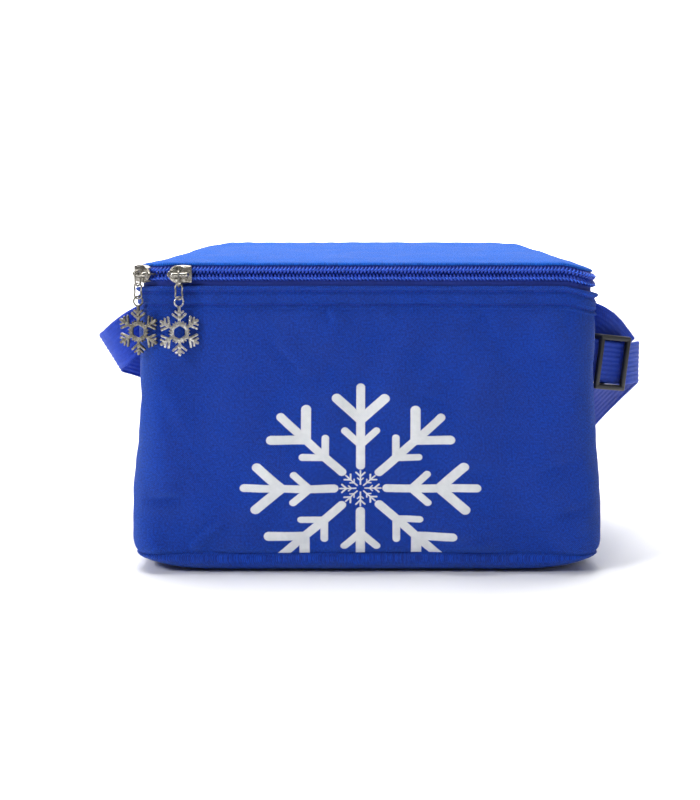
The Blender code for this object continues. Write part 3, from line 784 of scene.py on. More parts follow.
def body_point(s, z, extra=0.0):
    """A point on the bag's outer fabric, and its outward normal in plan."""
    s, z = np.broadcast_arrays(np.asarray(s, float), np.asarray(z, float))
    out = body_out(s, z) + extra
    x, y, nx, ny = plan(s, half_x(z), half_y(z), 12.8)
    P = np.stack([x + nx * out, y + ny * out, z], -1)
    return rim_warp(P), np.stack([nx, ny, 0 * nx], -1)


def wall(name, s0, s1, top_z, mat, step=1.15):
    """One wall of cloth: its outer face, a fold over the top, and its plain inner face."""
    cols = int((s1 - s0) / step) + 1
    s = np.linspace(s0, s1, cols)
    seam = bottom_seam_z(s)
    rows = []
    top = top_z - 0.6
    levels = np.concatenate([
        np.linspace(0, 5, 8, endpoint=False), np.linspace(5, 106, 76, endpoint=False), np.linspace(106, top - 9.6, 33)])
    for k in levels / levels[-1]:
        z = seam + (top - seam) * k
        P, _ = body_point(s, z)
        rows.append((P, z))
    for dz, inward in ((0.35, 0.15), (0.6, 0.6), (0.55, 1.0), (0.0, 1.25)):
        z = np.full_like(s, top_z - 0.6 + dz)
        P, _ = body_point(s, np.full_like(s, top_z - 0.6), -inward)
        P[:, 2] += dz
        rows.append((P, z))
    for k in np.linspace(1, 0, 30)[1:]:
        z = seam + 0.2 + (top_z - 0.6 - seam) * k
        layer = 0.75 + 0.5 * smoothstep(HEM_LOW - 1, HEM_LOW + 1, z)
        P, _ = body_point(s, z, -layer)
        rows.append((P, z))
    P = np.stack([r[0] for r in rows], 1)
    v = np.stack([np.broadcast_to(r[1], s.shape) for r in rows], 1)
    u = np.repeat((s - S_MID)[:, None], P.shape[1], 1)
    UV = np.stack([u, v], -1)
    UV = np.concatenate([UV, UV[:, :1]], 1)
    return sheet(name, P, UV, mat, wrap_c=True, caps=True)


front_cloth = wall("front_wrap_fabric", 0.0, S_WRAP, HEM_TOP, M_BODY)
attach(front_cloth, "bag")
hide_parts("front_wrap_panel")
back_cloth = wall("back_fabric", S_WRAP + 0.25, S_ALL - 0.25, 133.4, M_SIDE)
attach(back_cloth, "bag")
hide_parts("back_panel")



def underside_rise(x, y):
    """How far the underside stands off the floor towards its four corners."""
    along = np.clip((np.abs(x) - 66) / 38, 0, 1) ** 2.2
    return 6.6 * along * np.clip((np.abs(y) - 22) / 48, 0, 1) ** 2.4


# Underside: a shallow tray whose edge rolls up to the bottom seam.
s = np.linspace(0, S_ALL, 420, endpoint=False)
seam = bottom_seam_z(s)
rings = []
for k, inset in ((1.0, 0.9), (0.93, 0.35), (0.8, 0.0), (0.62, 0.25), (0.45, 1.0),
                 (0.3, 2.2), (0.17, 4.2), (0.08, 7.0), (0.025, 10.5), (0.0, 14.5)):
    z = (seam - 0.35) * k
    fold = np.exp(-(((k - 0.7) / 0.3) ** 2)) * 0.5 * waves(71, 9, 30, 8, s, 0 * s)
    x, y, nx, ny = plan(s, 104.6 - inset, 72.7 - inset, 12.8)
    bulge = fold + 0.9 * corner_amount(s) * k
    rings.append(np.stack([x + nx * bulge, y + ny * bulge, z * np.ones_like(s)], -1))
edge = rings[-1]
lift = 0.5 * corner_amount(s)
for t in (0.86, 0.7, 0.5, 0.3, 0.12, 0.02):
    ring = edge.copy()
    ring[:, :2] *= t
    ring[:, 2] = 0.0
    rings.append(ring)
outer = np.stack(rings, 0)
inner = outer[::-1].copy()
inner[..., 2] += 0.8
inner[..., :2] *= 1 - 0.9 / 105
P = np.concatenate([outer, inner], 0)
P[..., 2] = np.maximum(P[..., 2], 0.0)
P[..., 2] += underside_rise(P[..., 0], P[..., 1]) * (1 - np.clip(P[..., 2] / 9.0, 0, 1))
uvx = np.concatenate([P[..., 0], P[:, :1, 0]], 1)
uvy = np.concatenate([P[..., 1], P[:, :1, 1]], 1)
UV = np.stack([uvx, uvy], -1)
UV = np.concatenate([UV, UV[:1]], 0)
tray = sheet("bottom_fabric", P, UV, M_SIDE, wrap_r=False, wrap_c=True, caps=True)
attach(tray, "bag")
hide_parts("bottom_panel")


# ---------------------------------------------------------------- zip


def zip_path(s, out):
    """Plan position at a distance outward from the zip tape's outer face."""
    x, y, nx, ny = plan(s, 99.8 + out, 71.9 + out, 12.0 + out)
    return x, y, nx, ny


ZIP_S0 = BACK_SEAM_Y - 55.0
ZIP_S1 = S_WRAP - ZIP_S0


def strip(name, s0, s1, profile, mat, closed=False, step=1.3, warp=True, uv_across=1.0):
    """A narrow band along the zip's route. profile is a closed ring of (out, z)."""
    cols = int((s1 - s0) / step) + 1
    s = np.linspace(s0, s1, cols, endpoint=not closed)
    prof = np.array(profile, float)
    x, y, nx, ny = zip_path(s[:, None], prof[None, :, 0])
    P = np.stack([x, y, np.broadcast_to(prof[None, :, 1], x.shape)], -1)
    if warp:
        P = rim_warp(P)
    around = np.concatenate([[0], np.cumsum(np.linalg.norm(np.diff(np.vstack([prof, prof[:1]]), axis=0), axis=1))])
    rows = len(s) + (1 if closed else 0)
    us = np.linspace(s0, s1, rows)
    UV = np.stack(np.meshgrid(us, around * uv_across, indexing="ij"), -1)
    return sheet(name, P, UV, mat, wrap_r=closed, wrap_c=True, caps=not closed)


def band(out0, out1, z0, z1, n=6):
    """A thin upright ring profile, with points up its length so it can bend."""
    up = [(out1, z) for z in np.linspace(z0, z1, n)]
    down = [(out0, z) for z in np.linspace(z1, z0, n)]
    return up + down


tape_body = strip("zip_tape_body", ZIP_S0, ZIP_S1, band(-0.6, 0.0, 119.8, 134.4, 9), M_TAPE)
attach(tape_body, "bag")
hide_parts("zip_tape_lower")
tape_lid = strip(
    "zip_tape_lid", ZIP_S0, ZIP_S1,
    [(0.0, 135.6), (0.0, 137.6), (-0.05, 138.6), (-0.3, 139.1), (-0.9, 139.2), (-0.9, 138.7), (-0.65, 138.4), (-0.6, 137.4), (-0.6, 135.6)],
    M_TAPE,
)
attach(tape_lid, "lid")
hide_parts("zip_tape_upper")

PITCH = 1.62
ARCH = [(2.85, 0.15, 0.34), (2.72, 0.75, 0.42), (2.15, 1.35, 0.50), (1.45, 1.5, 0.52), (0.85, 1.2, 0.50), (0.42, 0.65, 0.50), (0.12, 0.1, 0.40)]


def coil(name, sign, body, node):
    """One row of the nylon coil: arched loops that dip to the zip's centre line."""
    count = int((ZIP_S1 - ZIP_S0) / PITCH)
    shapes = []
    arch = np.array(ARCH)
    for k in range(count):
        s = ZIP_S0 + (k + (0.5 if sign > 0 else 0.0)) * PITCH + 0.3
        lean = (arch[:, 0] - 1.4) * 0.34
        x, y, nx, ny = zip_path(s + lean, arch[:, 1])
        P = rim_warp(np.stack([x, y, 135.0 + sign * arch[:, 0]], -1))
        shapes.append(tube(P, arch[:, 2], 7, round_ends=True))
    obj = many(name, shapes, M_COIL)
    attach(obj, body)
    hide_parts(node)
    # The thread that sews the coil down runs over it as slanting stitches.
    shapes = []
    for k in range(count):
        s = ZIP_S0 + (k + (0.0 if sign > 0 else 0.5)) * PITCH + 0.3
        x, y, nx, ny = zip_path(np.array([s - 0.1, s + 0.45, s + 1.0]), np.array([1.55, 1.98, 1.5]))
        z = 135.0 + sign * np.array([1.55, 1.95, 2.45])
        shapes.append(tube(rim_warp(np.stack([x, y, z], -1)), [0.2, 0.3, 0.2], 6, round_ends=True))
    thread = many(name + "_thread", shapes, M_COIL_THREAD)
    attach(thread, body)
    return obj


coil("zip_coil_body", -1, "bag", "zip_coil_lower")
coil("zip_coil_lid", 1, "lid", "zip_coil_upper")


def rounded_box(name, low, high, r, mat, move=None):
    """A box with its edges rounded, in mm. move is an optional function on its points."""
    low, high = np.array(low, float), np.array(high, float)
    bm = bmesh.new()
    bmesh.ops.create_cube(bm, size=1.0)
    mid, size = (low + high) / 2, high - low
    for v in bm.verts:
        v.co = Vector([(mid[k] + v.co[k] * size[k]) for k in range(3)])
    bmesh.ops.bevel(bm, geom=bm.edges[:], offset=r, segments=3, profile=0.5, affect="EDGES")
    if move:
        points = move(np.array([v.co[:] for v in bm.verts]))
        for v, p in zip(bm.verts, points):
            v.co = p
    for v in bm.verts:
        v.co *= MM
    mesh = bpy.data.meshes.new(name)
    layer = bm.loops.layers.uv.new("UVMap")
    for f in bm.faces:
        k = max(range(3), key=lambda i: abs(f.normal[i]))
        a, b = [i for i in range(3) if i != k]
        for loop in f.loops:
            loop[layer].uv = (loop.vert.co[a] / MM, loop.vert.co[b] / MM)
    bm.to_mesh(mesh)
    bm.free()
    mesh.shade_smooth()
    mesh.set_sharp_from_angle(angle=math.radians(50))
    mesh.materials.append(mat)
    obj = bpy.data.objects.new(name, mesh)
    scene.collection.objects.link(obj)
    return obj


def dress(obj, body, nodes):
    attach(obj, body)
    if nodes:
        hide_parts(*nodes)
    return obj


for side, tag in ((-1, "left"), (1, "right")):
    drop = float(sag(side * 101.0, 57.0))
    stop = rounded_box(
        f"zip_stop_{tag}_staple",
        sorted((side * 99.7, side * 102.4))[:1] + [55.3, 130.9],
        sorted((side * 99.7, side * 102.4))[1:] + [58.3, 134.2],
        0.55,
        M_NICKEL,
        lambda p, d=drop: p + np.array([0, 0, d]),
    )
    dress(stop, "bag", [f"zip_stop_{tag}"])


# ---------------------------------------------------------------- lid

LS = np.linspace(0, S_ALL, 540, endpoint=False)


def ring_at(out, hx, hy, r, scale=1.0):
    x, y, nx, ny = plan(LS, hx + out, hy + out, max(r + out, 1.0))
    return x * scale, y * scale


def lid_height(x, y, inset):
    """Height of the lid's cloth above its plain level."""
    bump = 1.75 * (1 - np.exp(-inset / 11.0))
    bump = bump + 0.42 * waves(81, 28, 80, 9, x, y) * smoothstep(2, 14, inset)
    bump = bump + 0.13 * waves(82, 9, 24, 8, x, y) * smoothstep(1, 6, inset)
    # Small gathers along the seam.
    pucker = waves(83, 6, 17, 7, x * 1.0 + y * 0.9, 0.15 * (x - y))
    bump = bump + 0.26 * pucker * np.exp(-(((inset - 3.2) / 2.6) ** 2))
    # Creases that run with the break of the two back corners.
    for side in (-1, 1):
        a, b = (side * 68.0, 71.0), (side * 89.0, -66.0)
        bump = bump + 0.9 * crease(x, y, a, b, 0.35, 2.4, 1.9) * smoothstep(0.5, 5, inset)
        a, b = (side * 83.0, 70.0), (side * 96.0, -8.0)
        bump = bump + crease(x, y, a, b, 0.45, 2.8, 0.7) * smoothstep(0.5, 5, inset)
    bump = bump + crease(x, y, (-54, -66), (-30, -22), 0.35, 3.6, 0.8) * smoothstep(0.5, 5, inset)
    bump = bump + crease(x, y, (22, 64), (46, 12), 0.32, 4.2, 0.8) * smoothstep(0.5, 5, inset)
    return bump


def lid_rings(levels, hx, hy, r, base, thick_out=0.0, relief=True):
    rows = []
    for out, scale, dz in levels:
        x, y = ring_at(out, hx, hy, r, scale)
        x0, y0 = ring_at(out, hx, hy, r)
        inset = -out + (1 - scale) * 72.0
        z = np.full_like(x, base + dz)
        if relief:
            z = z + lid_height(x, y, max(inset, 0.0))
        rows.append(np.stack([x, y, z], -1))
    return np.stack(rows, 0)


top_levels = [
    (-0.1, 1, -0.95), (0.2, 1, -0.8), (0.38, 1, -0.4), (0.3, 1, 0.0), (0.0, 1, 0.25),
    (-0.5, 1, 0.38), (-1.5, 1, 0.36), (-2.7, 1, 0.3), (-4.0, 1, 0.22), (-5.5, 1, 0.14),
    (-7.2, 1, 0.06), (-9.0, 1, 0.0),
] + [(-9.0, k, 0.0) for k in np.linspace(1, 0.012, 46)[1:]]
top = lid_rings(top_levels, 100.1, 72.2, 12.6, 139.55)
under_levels = [(-9.0, k, -0.85) for k in np.linspace(0.012, 1, 16)] + [
    (-6.0, 1, -0.7), (-3.0, 1, -0.5), (-1.2, 1, -0.5), (-0.5, 1, -0.9),
]
under = lid_rings(under_levels, 100.1, 72.2, 12.6, 139.55)
P = rim_warp(np.concatenate([top[::-1], under[::-1]], 0))
uvx = np.concatenate([P[..., 0], P[:, :1, 0]], 1)
uvy = np.concatenate([P[..., 1], P[:, :1, 1]], 1)
UV = np.stack([uvx, uvy], -1)
UV = np.concatenate([UV, UV[:1]], 0)
lid_cloth = sheet("lid_top_fabric", P, UV, M_LID_PAINTED_LIGHT, wrap_c=True, caps=True)
dress(lid_cloth, "lid", ["lid_panel"])


def pad(name, hx, hy, r, z0, z1, mat, crinkle=0.0, seed=1, body="lid", nodes=(), z_over=None):
    """A thin padded slab inside an outline, with soft edges."""
    rnd = min(0.5, (z1 - z0) / 2.2)
    scales = list(np.linspace(0.02, 1, 30))
    rows = []
    for k in scales[:-1]:
        x, y = ring_at(-1.6, hx, hy, r, k)
        z = np.full_like(x, z0)
        if crinkle:
            z = z - crinkle * (0.5 + 0.5 * waves(seed, 6, 26, 12, x, y)) * (k < 0.97)
        rows.append(np.stack([x, y, z], -1))
    for out, z in ((-1.6, z0), (-0.6, z0 + 0.04), (0.0, z0 + rnd), (0.0, z1 - rnd), (-0.6, z1 - 0.04), (-1.6, z1)):
        x, y = ring_at(out, hx, hy, r)
        rows.append(np.stack([x, y, np.full_like(x, z)], -1))
    for k in scales[::-1][1:]:
        x, y = ring_at(-1.6, hx, hy, r, k)
        rows.append(np.stack([x, y, np.full_like(x, z1)], -1))
    P = rim_warp(np.stack(rows, 0))
    uvx = np.concatenate([P[..., 0], P[:, :1, 0]], 1)
    uvy = np.concatenate([P[..., 1], P[:, :1, 1]], 1)
    UV = np.stack([uvx, uvy], -1)
    UV = np.concatenate([UV, UV[:1]], 0)
    obj = sheet(name, P, UV, mat, wrap_c=True, caps=True)
    return dress(obj, body, list(nodes))


pad("lid_foam_pad", 94.7, 66.9, 7.0, 136.0, 138.5, M_FOAM, nodes=["lid_foam"])
pad("lid_foil", 94.9, 67.1, 7.2, 134.9, 135.7, M_FOIL, 0.7, 91, nodes=["lid_lining"])


def loop_band(name, hx, hy, r, profile, mat, body, nodes, s0=0.0, s1=None, step=1.4, wob=0.0, seed=3):
    """A band all round the opening; profile is a closed ring of (out, z)."""
    closed = s1 is None
    s1 = S_ALL if closed else s1
    cols = int((s1 - s0) / step) + 1
    s = np.linspace(s0, s1, cols, endpoint=not closed)
    prof = np.array(profile, float)
    out = prof[None, :, 0] + wob * waves(seed, 7, 24, 7, s, 0 * s)[:, None]
    x, y, nx, ny = plan(s[:, None], hx + out, hy + out, np.maximum(r + out, 0.8))
    P = rim_warp(np.stack([x, y, np.broadcast_to(prof[None, :, 1], x.shape)], -1))
    around = np.concatenate(
        [[0], np.cumsum(np.linalg.norm(np.diff(np.vstack([prof, prof[:1]]), axis=0), axis=1))]
    )
    us = np.linspace(s0, s1, len(s) + (1 if closed else 0))
    UV = np.stack(np.meshgrid(us, around, indexing="ij"), -1)
    obj = sheet(name, P, UV, mat, wrap_r=closed, wrap_c=True, caps=not closed)
    return dress(obj, body, nodes)


loop_band(
    "lid_binding_tape", 96.15, 68.4, 8.5,
    [(-1.0, 134.8), (-1.5, 134.3), (-0.9, 133.95), (0.2, 134.0), (0.9, 134.4), (1.1, 135.2), (1.1, 136.6),
     (1.1, 138.2), (0.8, 138.5), (-0.8, 138.5), (-1.0, 138.2), (-1.0, 136.6)],
    M_BINDING, "lid", ["lid_binding"], wob=0.05,
)
loop_band(
    "rim_binding_tape", 96.9, 68.95, 9.1,
    [(-2.35, 124.4), (-2.5, 126.5), (-2.5, 128.6), (-2.2, 130.0), (-1.2, 130.7), (0.4, 130.8), (1.7, 130.4),
     (2.1, 129.6), (2.15, 128.0), (2.1, 126.8), (1.7, 126.8), (1.5, 128.0), (0.0, 128.2), (-1.6, 128.0), (-1.95, 126.5), (-1.95, 124.6)],
    M_BINDING, "bag", ["rim_binding"], wob=0.06, seed=4,
)

# Cloth across the back, sewn to the bag below and the lid above.
# It is in three lengths, because its fold drops with the rim towards the two back corners.
HINGE_PROFILE = [
    (0.15, 130.2), (0.35, 131.4), (0.6, 132.6), (0.8, 133.8), (0.85, 135.0), (0.8, 136.2), (0.6, 137.4), (0.3, 138.4), (0.0, 139.3),
    (-0.7, 139.2), (-0.5, 138.3), (-0.2, 137.2), (0.0, 136.1), (0.05, 135.0), (0.0, 133.8), (-0.2, 132.6), (-0.45, 131.4), (-0.65, 130.2)]
REAR0 = S_WRAP + STUB + ARC


def rear_s(x):
    return REAR0 + (87.8 - x) * FRONT / 175.6


fall = (8.0 / 33.0)
tip = math.hypot(fall, 1.0)
for tag, s0, s1, side in (
    ("right", S_WRAP - 2.6, rear_s(FOLD_X), 1),
    ("middle", rear_s(FOLD_X), rear_s(-FOLD_X), 0),
    ("left", rear_s(-FOLD_X), S_ALL + 2.6, -1),
):
    hinge = strip(f"hinge_fabric_{tag}", s0, s1, HINGE_PROFILE, M_SIDE)
    if side:
        d = 0.007 / tip**2
    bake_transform(hinge)

# ---------------------------------------------------------------- lining and foam


def slab(name, low, high, node):
    obj = rounded_box(name, low, high, 0.5, M_FOAM)
    bm = bmesh.new()
    bm.from_mesh(obj.data)
    bmesh.ops.subdivide_edges(bm, edges=[e for e in bm.edges if e.calc_length() > 0.05], cuts=9, use_grid_fill=True)
    bmesh.ops.triangulate(bm, faces=[f for f in bm.faces if len(f.verts) > 4])
    points = rim_warp(np.array([v.co[:] for v in bm.verts]) / MM)
    if node == "foam_bottom":
        left = np.clip((4.1 - points[:, 2]) / 2.8, 0, 1)
        points[:, 2] += left * underside_rise(points[:, 0], points[:, 1])
    for v, p in zip(bm.verts, points):
        v.co = p * MM
    bm.to_mesh(obj.data)
    bm.free()
    return dress(obj, "bag", [node])


slab("foam_sheet_front", (-86, -70.9, 10.4), (86, -68.1, 127.3), "foam_front")
slab("foam_sheet_back", (-86, 68.1, 10.4), (86, 70.9, 127.3), "foam_back")
slab("foam_sheet_left", (-98.8, -58, 10.4), (-96.0, 58, 127.3), "foam_left")
slab("foam_sheet_right", (96.0, -58, 10.4), (98.8, 58, 127.3), "foam_right")
slab("foam_sheet_bottom", (-92, -62, 1.3), (92, 62, 4.1), "foam_bottom")

rows = []
zs = np.linspace(0, 1, 34)
for k in (0.02, 0.3, 0.6, 0.85, 0.97):
    x, y = ring_at(0, 95.3, 67.4, 7.0, k)
    rows.append(np.stack([x, y, np.full_like(x, 4.6)], -1))
for k in zs:
    x, y = ring_at(0.3 if k > 0.02 else 0.0, 95.3, 67.4, 7.0)
    rows.append(np.stack([x, y, np.full_like(x, 4.8 + 122.6 * k)], -1))
for k in zs[::-1]:
    wave = 0.5 + 0.5 * waves(95, 7, 32, 12, LS, 122.6 * k + 0 * LS)
    fade = smoothstep(0, 0.06, k) * (1 - smoothstep(0.93, 1.0, k))
    x, y, nx, ny = plan(LS, 95.0, 67.1, 6.7)
    d = 1.5 * wave * fade
    rows.append(np.stack([x - nx * d, y - ny * d, np.full_like(x, 5.4 + 122.0 * k)], -1))
for k in np.linspace(1, 0.02, 34)[1:]:
    x, y = ring_at(0, 95.0, 67.1, 6.7, k)
    bump = 1.3 * (0.5 + 0.5 * waves(96, 7, 34, 12, x, y)) * (1 - smoothstep(0.9, 1.0, k))
    rows.append(np.stack([x, y, 5.3 + bump], -1))
P = rim_warp(np.stack(rows, 0))
n_rows, n_cols = P.shape[:2]
along = np.linspace(0, S_ALL, n_cols + 1)
down = np.cumsum(np.concatenate([[0], np.linalg.norm(np.diff(P[:, 0], axis=0), axis=1)]))
UV = np.stack(np.meshgrid(down, along, indexing="ij"), -1)[..., ::-1]
flat = np.concatenate([P[..., :2], P[:, :1, :2]], 1)
floor_rows = np.concatenate([np.arange(0, 5), np.arange(n_rows - 33, n_rows)])
UV[floor_rows] = flat[floor_rows]
tub = sheet("foil_tub", P, UV, M_FOIL, wrap_c=True, caps=True)
dress(tub, "bag", ["liner_tub"])


# ---------------------------------------------------------------- sliders and charms


def flat_part(name, loops, thick, bevel, matrix, mat, segments=2):
    """A flat shape with rounded edges, cut from loops of (x, y) in mm and placed by a matrix in mm."""
    curve = bpy.data.curves.new(name, "CURVE")
    curve.dimensions = "2D"
    curve.fill_mode = "BOTH"
    curve.extrude = (thick / 2 - bevel) * MM
    curve.bevel_depth = bevel * MM
    curve.bevel_resolution = segments
    curve.offset = -bevel * MM
    for loop in loops:
        spline = curve.splines.new("POLY")
        spline.points.add(len(loop) - 1)
        for point, (x, y) in zip(spline.points, loop):
            point.co = (x * MM, y * MM, 0.0, 1.0)
        spline.use_cyclic_u = True
    holder = bpy.data.objects.new(name + "_outline", curve)
    scene.collection.objects.link(holder)
    bpy.context.view_layer.update()
    mesh = bpy.data.meshes.new_from_object(
        holder.evaluated_get(bpy.context.evaluated_depsgraph_get())
    )
    bpy.data.objects.remove(holder)
    bpy.data.curves.remove(curve)
    bm = bmesh.new()
    bm.from_mesh(mesh)
    bmesh.ops.remove_doubles(bm, verts=bm.verts, dist=1e-6)
    layer = bm.loops.layers.uv.verify()
    for f in bm.faces:
        for loop in f.loops:
            loop[layer].uv = (loop.vert.co.x / MM, loop.vert.co.y / MM)
    m = Matrix(matrix)
    m.translation *= MM
    bmesh.ops.transform(bm, matrix=m, verts=bm.verts)
    bmesh.ops.recalc_face_normals(bm, faces=bm.faces)
    bm.to_mesh(mesh)
    bm.free()
    mesh.name = name
    mesh.materials.clear()
    mesh.materials.append(mat)
    mesh.shade_smooth()
    mesh.set_sharp_from_angle(angle=math.radians(38))
    obj = bpy.data.objects.new(name, mesh)
    scene.collection.objects.link(obj)
    return obj


def joined(name, objs):
    """Several objects made one mesh."""
    bm = bmesh.new()
    for o in objs:
        bm.from_mesh(o.data)
    mesh = bpy.data.meshes.new(name)
    bm.to_mesh(mesh)
    bm.free()
    mesh.materials.append(objs[0].data.materials[0])
    for o in objs:
        bpy.data.objects.remove(o)
    obj = bpy.data.objects.new(name, mesh)
    scene.collection.objects.link(obj)
    return obj


def arc_points(cx, cy, r, a0, a1, steps):
    t = np.radians(np.linspace(a0, a1, steps + 1))
    return [(cx + r * math.cos(v), cy + r * math.sin(v)) for v in t]


def softened(loop, cut=0.35, rounds=1):
    """A polygon with its corners cut, so that they catch light."""
    p = np.array(loop, float)
    for _ in range(rounds):
        nxt = np.roll(p, -1, 0)
        d = np.linalg.norm(nxt - p, axis=1, keepdims=True)
        k = np.minimum(cut / np.maximum(d, 1e-6), 0.3)
        p = np.stack([p + (nxt - p) * k, nxt - (nxt - p) * k], 1).reshape(-1, 2)
    return [tuple(v) for v in p]


PLATE = softened(
    [(5.6, 0.0), (4.9, 1.1), (3.2, 3.0), (1.6, 3.9), (-0.6, 3.9), (-1.7, 3.35), (-3.4, 3.3),
     (-5.5, 3.8), (-5.5, -3.8), (-3.4, -3.3), (-1.7, -3.35), (-0.6, -3.9), (1.6, -3.9), (3.2, -3.0), (4.9, -1.1)],
    0.5, 2)


def slider(tag, centre, out_dir, nose_dir, drop, body):
    """One slider: front and back plates, lips round the coil, neck at the nose, and the bridge."""
    o = Vector((*out_dir, 0)).normalized()
    a = Vector((*nose_dir, 0)).normalized()
    z = Vector((0, 0, 1))
    origin = Vector((*centre, 134.9 + drop))

    def at(u, v, w):
        return origin + a * u + o * v + z * w

    def frame_at(v):
        # Columns: shape x along the nose, shape y up, shape z outward (or inward when mirrored).
        m = Matrix.Identity(4)
        third = a.cross(z)
        for k, axis in enumerate((a, z, third)):
            for i in range(3):
                m[i][k] = axis[i]
        m.translation = at(0, v, 0)
        return m

    parts = [
        flat_part("tmp_front", [PLATE], 1.2, 0.34, frame_at(3.6), M_NICKEL, 3),
        flat_part("tmp_back", [PLATE], 1.0, 0.25, frame_at(-1.4), M_NICKEL),
    ]
    lips = []
    for side in (-1, 1):
        pts = [at(u, 2.3, side * w) for u, w in ((-5.1, 3.5), (-2.5, 3.62), (-0.3, 3.6), (1.8, 3.35), (3.4, 2.85))]
        lips.append(tube([p[:] for p in pts], [0.34, 0.42, 0.42, 0.4, 0.3], 8, flat=2.3, up=z[:], round_ends=True))
    neck = tube([at(4.35, -1.6, 0)[:], at(4.35, 0.8, 0)[:], at(4.35, 3.4, 0)[:]], 0.48, 8)
    # Two low ridges frame the bridge.
    ridges = []
    for side in (-1, 1):
        pts = [at(u, 4.2, side * 1.75)[:] for u in (-4.6, -3.4, 0, 2.4, 3.3)]
        ridges.append(tube(pts, 0.34, 8, round_ends=True))
    path = [(-4.0, 3.9), (-3.9, 5.0), (-3.5, 6.0), (-2.7, 6.48), (-1.3, 6.55), (0.0, 6.56), (1.3, 6.55),
            (2.7, 6.48), (3.5, 6.0), (3.9, 5.0), (4.0, 3.9)]
    wide = np.array([1.35, 1.2, 1.0, 0.86, 0.8, 0.8, 0.8, 0.86, 1.0, 1.2, 1.35])
    route = route_through([at(u, v, 0)[:] for u, v in path], 4)
    wide = np.interp(np.linspace(0, 10, len(route)), np.arange(11), wide)
    arch = tube(route, wide, 12, flat=0.48 / wide, up=z[:])
    body_mesh = many("tmp_arch", [arch, neck, *lips, *ridges], M_NICKEL, angle=45)
    obj = joined(f"slider_{tag}_body", [*parts, body_mesh])
    dress(obj, body, [f"slider_{tag}"])
    return at(0, 6.5, 0)


def stadium_path(r, low, high, steps=14):
    return arc_points(0, high - r, r, 0, 180, steps) + arc_points(0, low + r, r, 180, 360, steps)


def snowflake_loop(radius=10.6, extra=0.7):
    w = 0.66
    right = [(w, 4.6), (w, 5.42), (3.6, 7.72), (3.45, 8.3), (2.95, 8.55), (w, 6.8), (w, 7.58), (2.3, 8.9), (2.2, 9.5), (1.75, 9.65), (w, 8.85)]
    points = []
    for arm in range(6):
        t = math.radians(60 * arm)
        top = 10.6 + (extra if arm == 0 else 0)
        side = right + [(w, top - 0.4), (0.35, top), (-0.35, top), (-w, top - 0.4)]
        side = side + [(-x, y) for x, y in reversed(right)]
        # A pair of small beads stands on the hub between two arms.
        for deg, r in ((-16, 4.25), (-18, 4.9), (-21.5, 5.25), (-25, 5.0), (-28, 4.35), (-30, 4.15), (-32, 4.35),
                       (-35, 5.0), (-38.5, 5.25), (-42, 4.9), (-44, 4.25)):
            side.append((r * math.sin(math.radians(deg)), r * math.cos(math.radians(deg))))
        for x, y in side:
            points.append((x * math.cos(t) - y * math.sin(t), x * math.sin(t) + y * math.cos(t)))
    return points


def pull(tag, bar, bar_yaw, charm_yaw, body, charm_body, lean=0.0):
    x0, y0, z0 = bar

    def placed(pts, yaw, across):
        c, s_ = math.cos(math.radians(yaw)), math.sin(math.radians(yaw))
        out = []
        for u, up in pts:
            dx, dy = (-s_ * u, c * u) if across else (c * u, s_ * u)
            out.append((x0 + dx, y0 + dy, up))
        return out

    loop = placed([(u, z0 + v) for u, v in stadium_path(1.5, -5.1, 1.5)], bar_yaw, True)
    obj = closed_tube(f"pull_loop_{tag}_wire", loop, 0.42, M_NICKEL, 12)
    dress(obj, body, [f"pull_loop_{tag}"])
    link_top = z0 - 5.1 + 0.8 + 0.35
    link_low = link_top - 6.9
    # The link's sides are pinched a little in the middle, like a figure of eight.
    pts = []
    for u, up in stadium_path(1.85, link_low, link_top, 16):
        pts.append((u, up))
    dense = evenly([(u, up, 0) for u, up in pts + pts[:1]], 0.35)[0][:-1]
    mid = (link_low + link_top) / 2
    pts = [(u * (1 - 0.16 * math.exp(-(((v - mid) / 1.6) ** 2))), v) for u, v, _ in dense]
    obj = closed_tube(f"pull_link_{tag}_wire", placed(pts, -22.0, False), 0.42, M_NICKEL, 12)
    dress(obj, body, [f"pull_link_{tag}"])
    ring_mid = link_low + 0.8 + 0.35 - 2.15
    ring = placed([(u, ring_mid + v) for u, v in arc_points(0, 0, 2.15, 0, 360, 40)[:-1]], 33.0, False)
    metal = M_CHARM_DARK if tag == "left" else M_CHARM
    ring_obj = closed_tube("tmp_ring", ring, 0.4, metal, 12)
    star_mid = ring_mid - 2.15 - 10.6 - 0.7 + 0.1
    hub = [(2.9 * math.cos(math.radians(60 * i + 30)), 2.9 * math.sin(math.radians(60 * i + 30))) for i in range(6)]
    m = (
        Matrix.Translation((x0, y0, star_mid))
        @ Matrix.Rotation(math.radians(charm_yaw), 4, "Z")
        @ Matrix.Rotation(math.radians(90), 4, "X")
    )
    star = flat_part("tmp_star", [softened([(x * 0.94, y) for x, y in snowflake_loop()], 0.16), softened(hub, 0.4)], 1.5, 0.26, m, metal, 3)
    obj = joined(f"snowflake_{tag}_plate", [star, ring_obj])
    dress(obj, charm_body, [f"snowflake_charm_{tag}"])


bar = slider("right", (-82.4, -71.9), (0, -1), (-1, 0), 0.0, "zip_slider_right")
pull("right", (-82.4, -78.4, 135.0), 0.0, 20.0, "pull_right", "charm_right")
root = math.sqrt(0.5)
slider("left", (-87.8 - 12 * root, -59.9 - 12 * root), (-root, -root), (root, -root), -0.15, "zip_slider_left")
pull("left", (-87.8 - 18.5 * root, -59.9 - 18.5 * root, 134.85), 315.0, -15.0, "pull_left", "charm_left")


# ---------------------------------------------------------------- strap


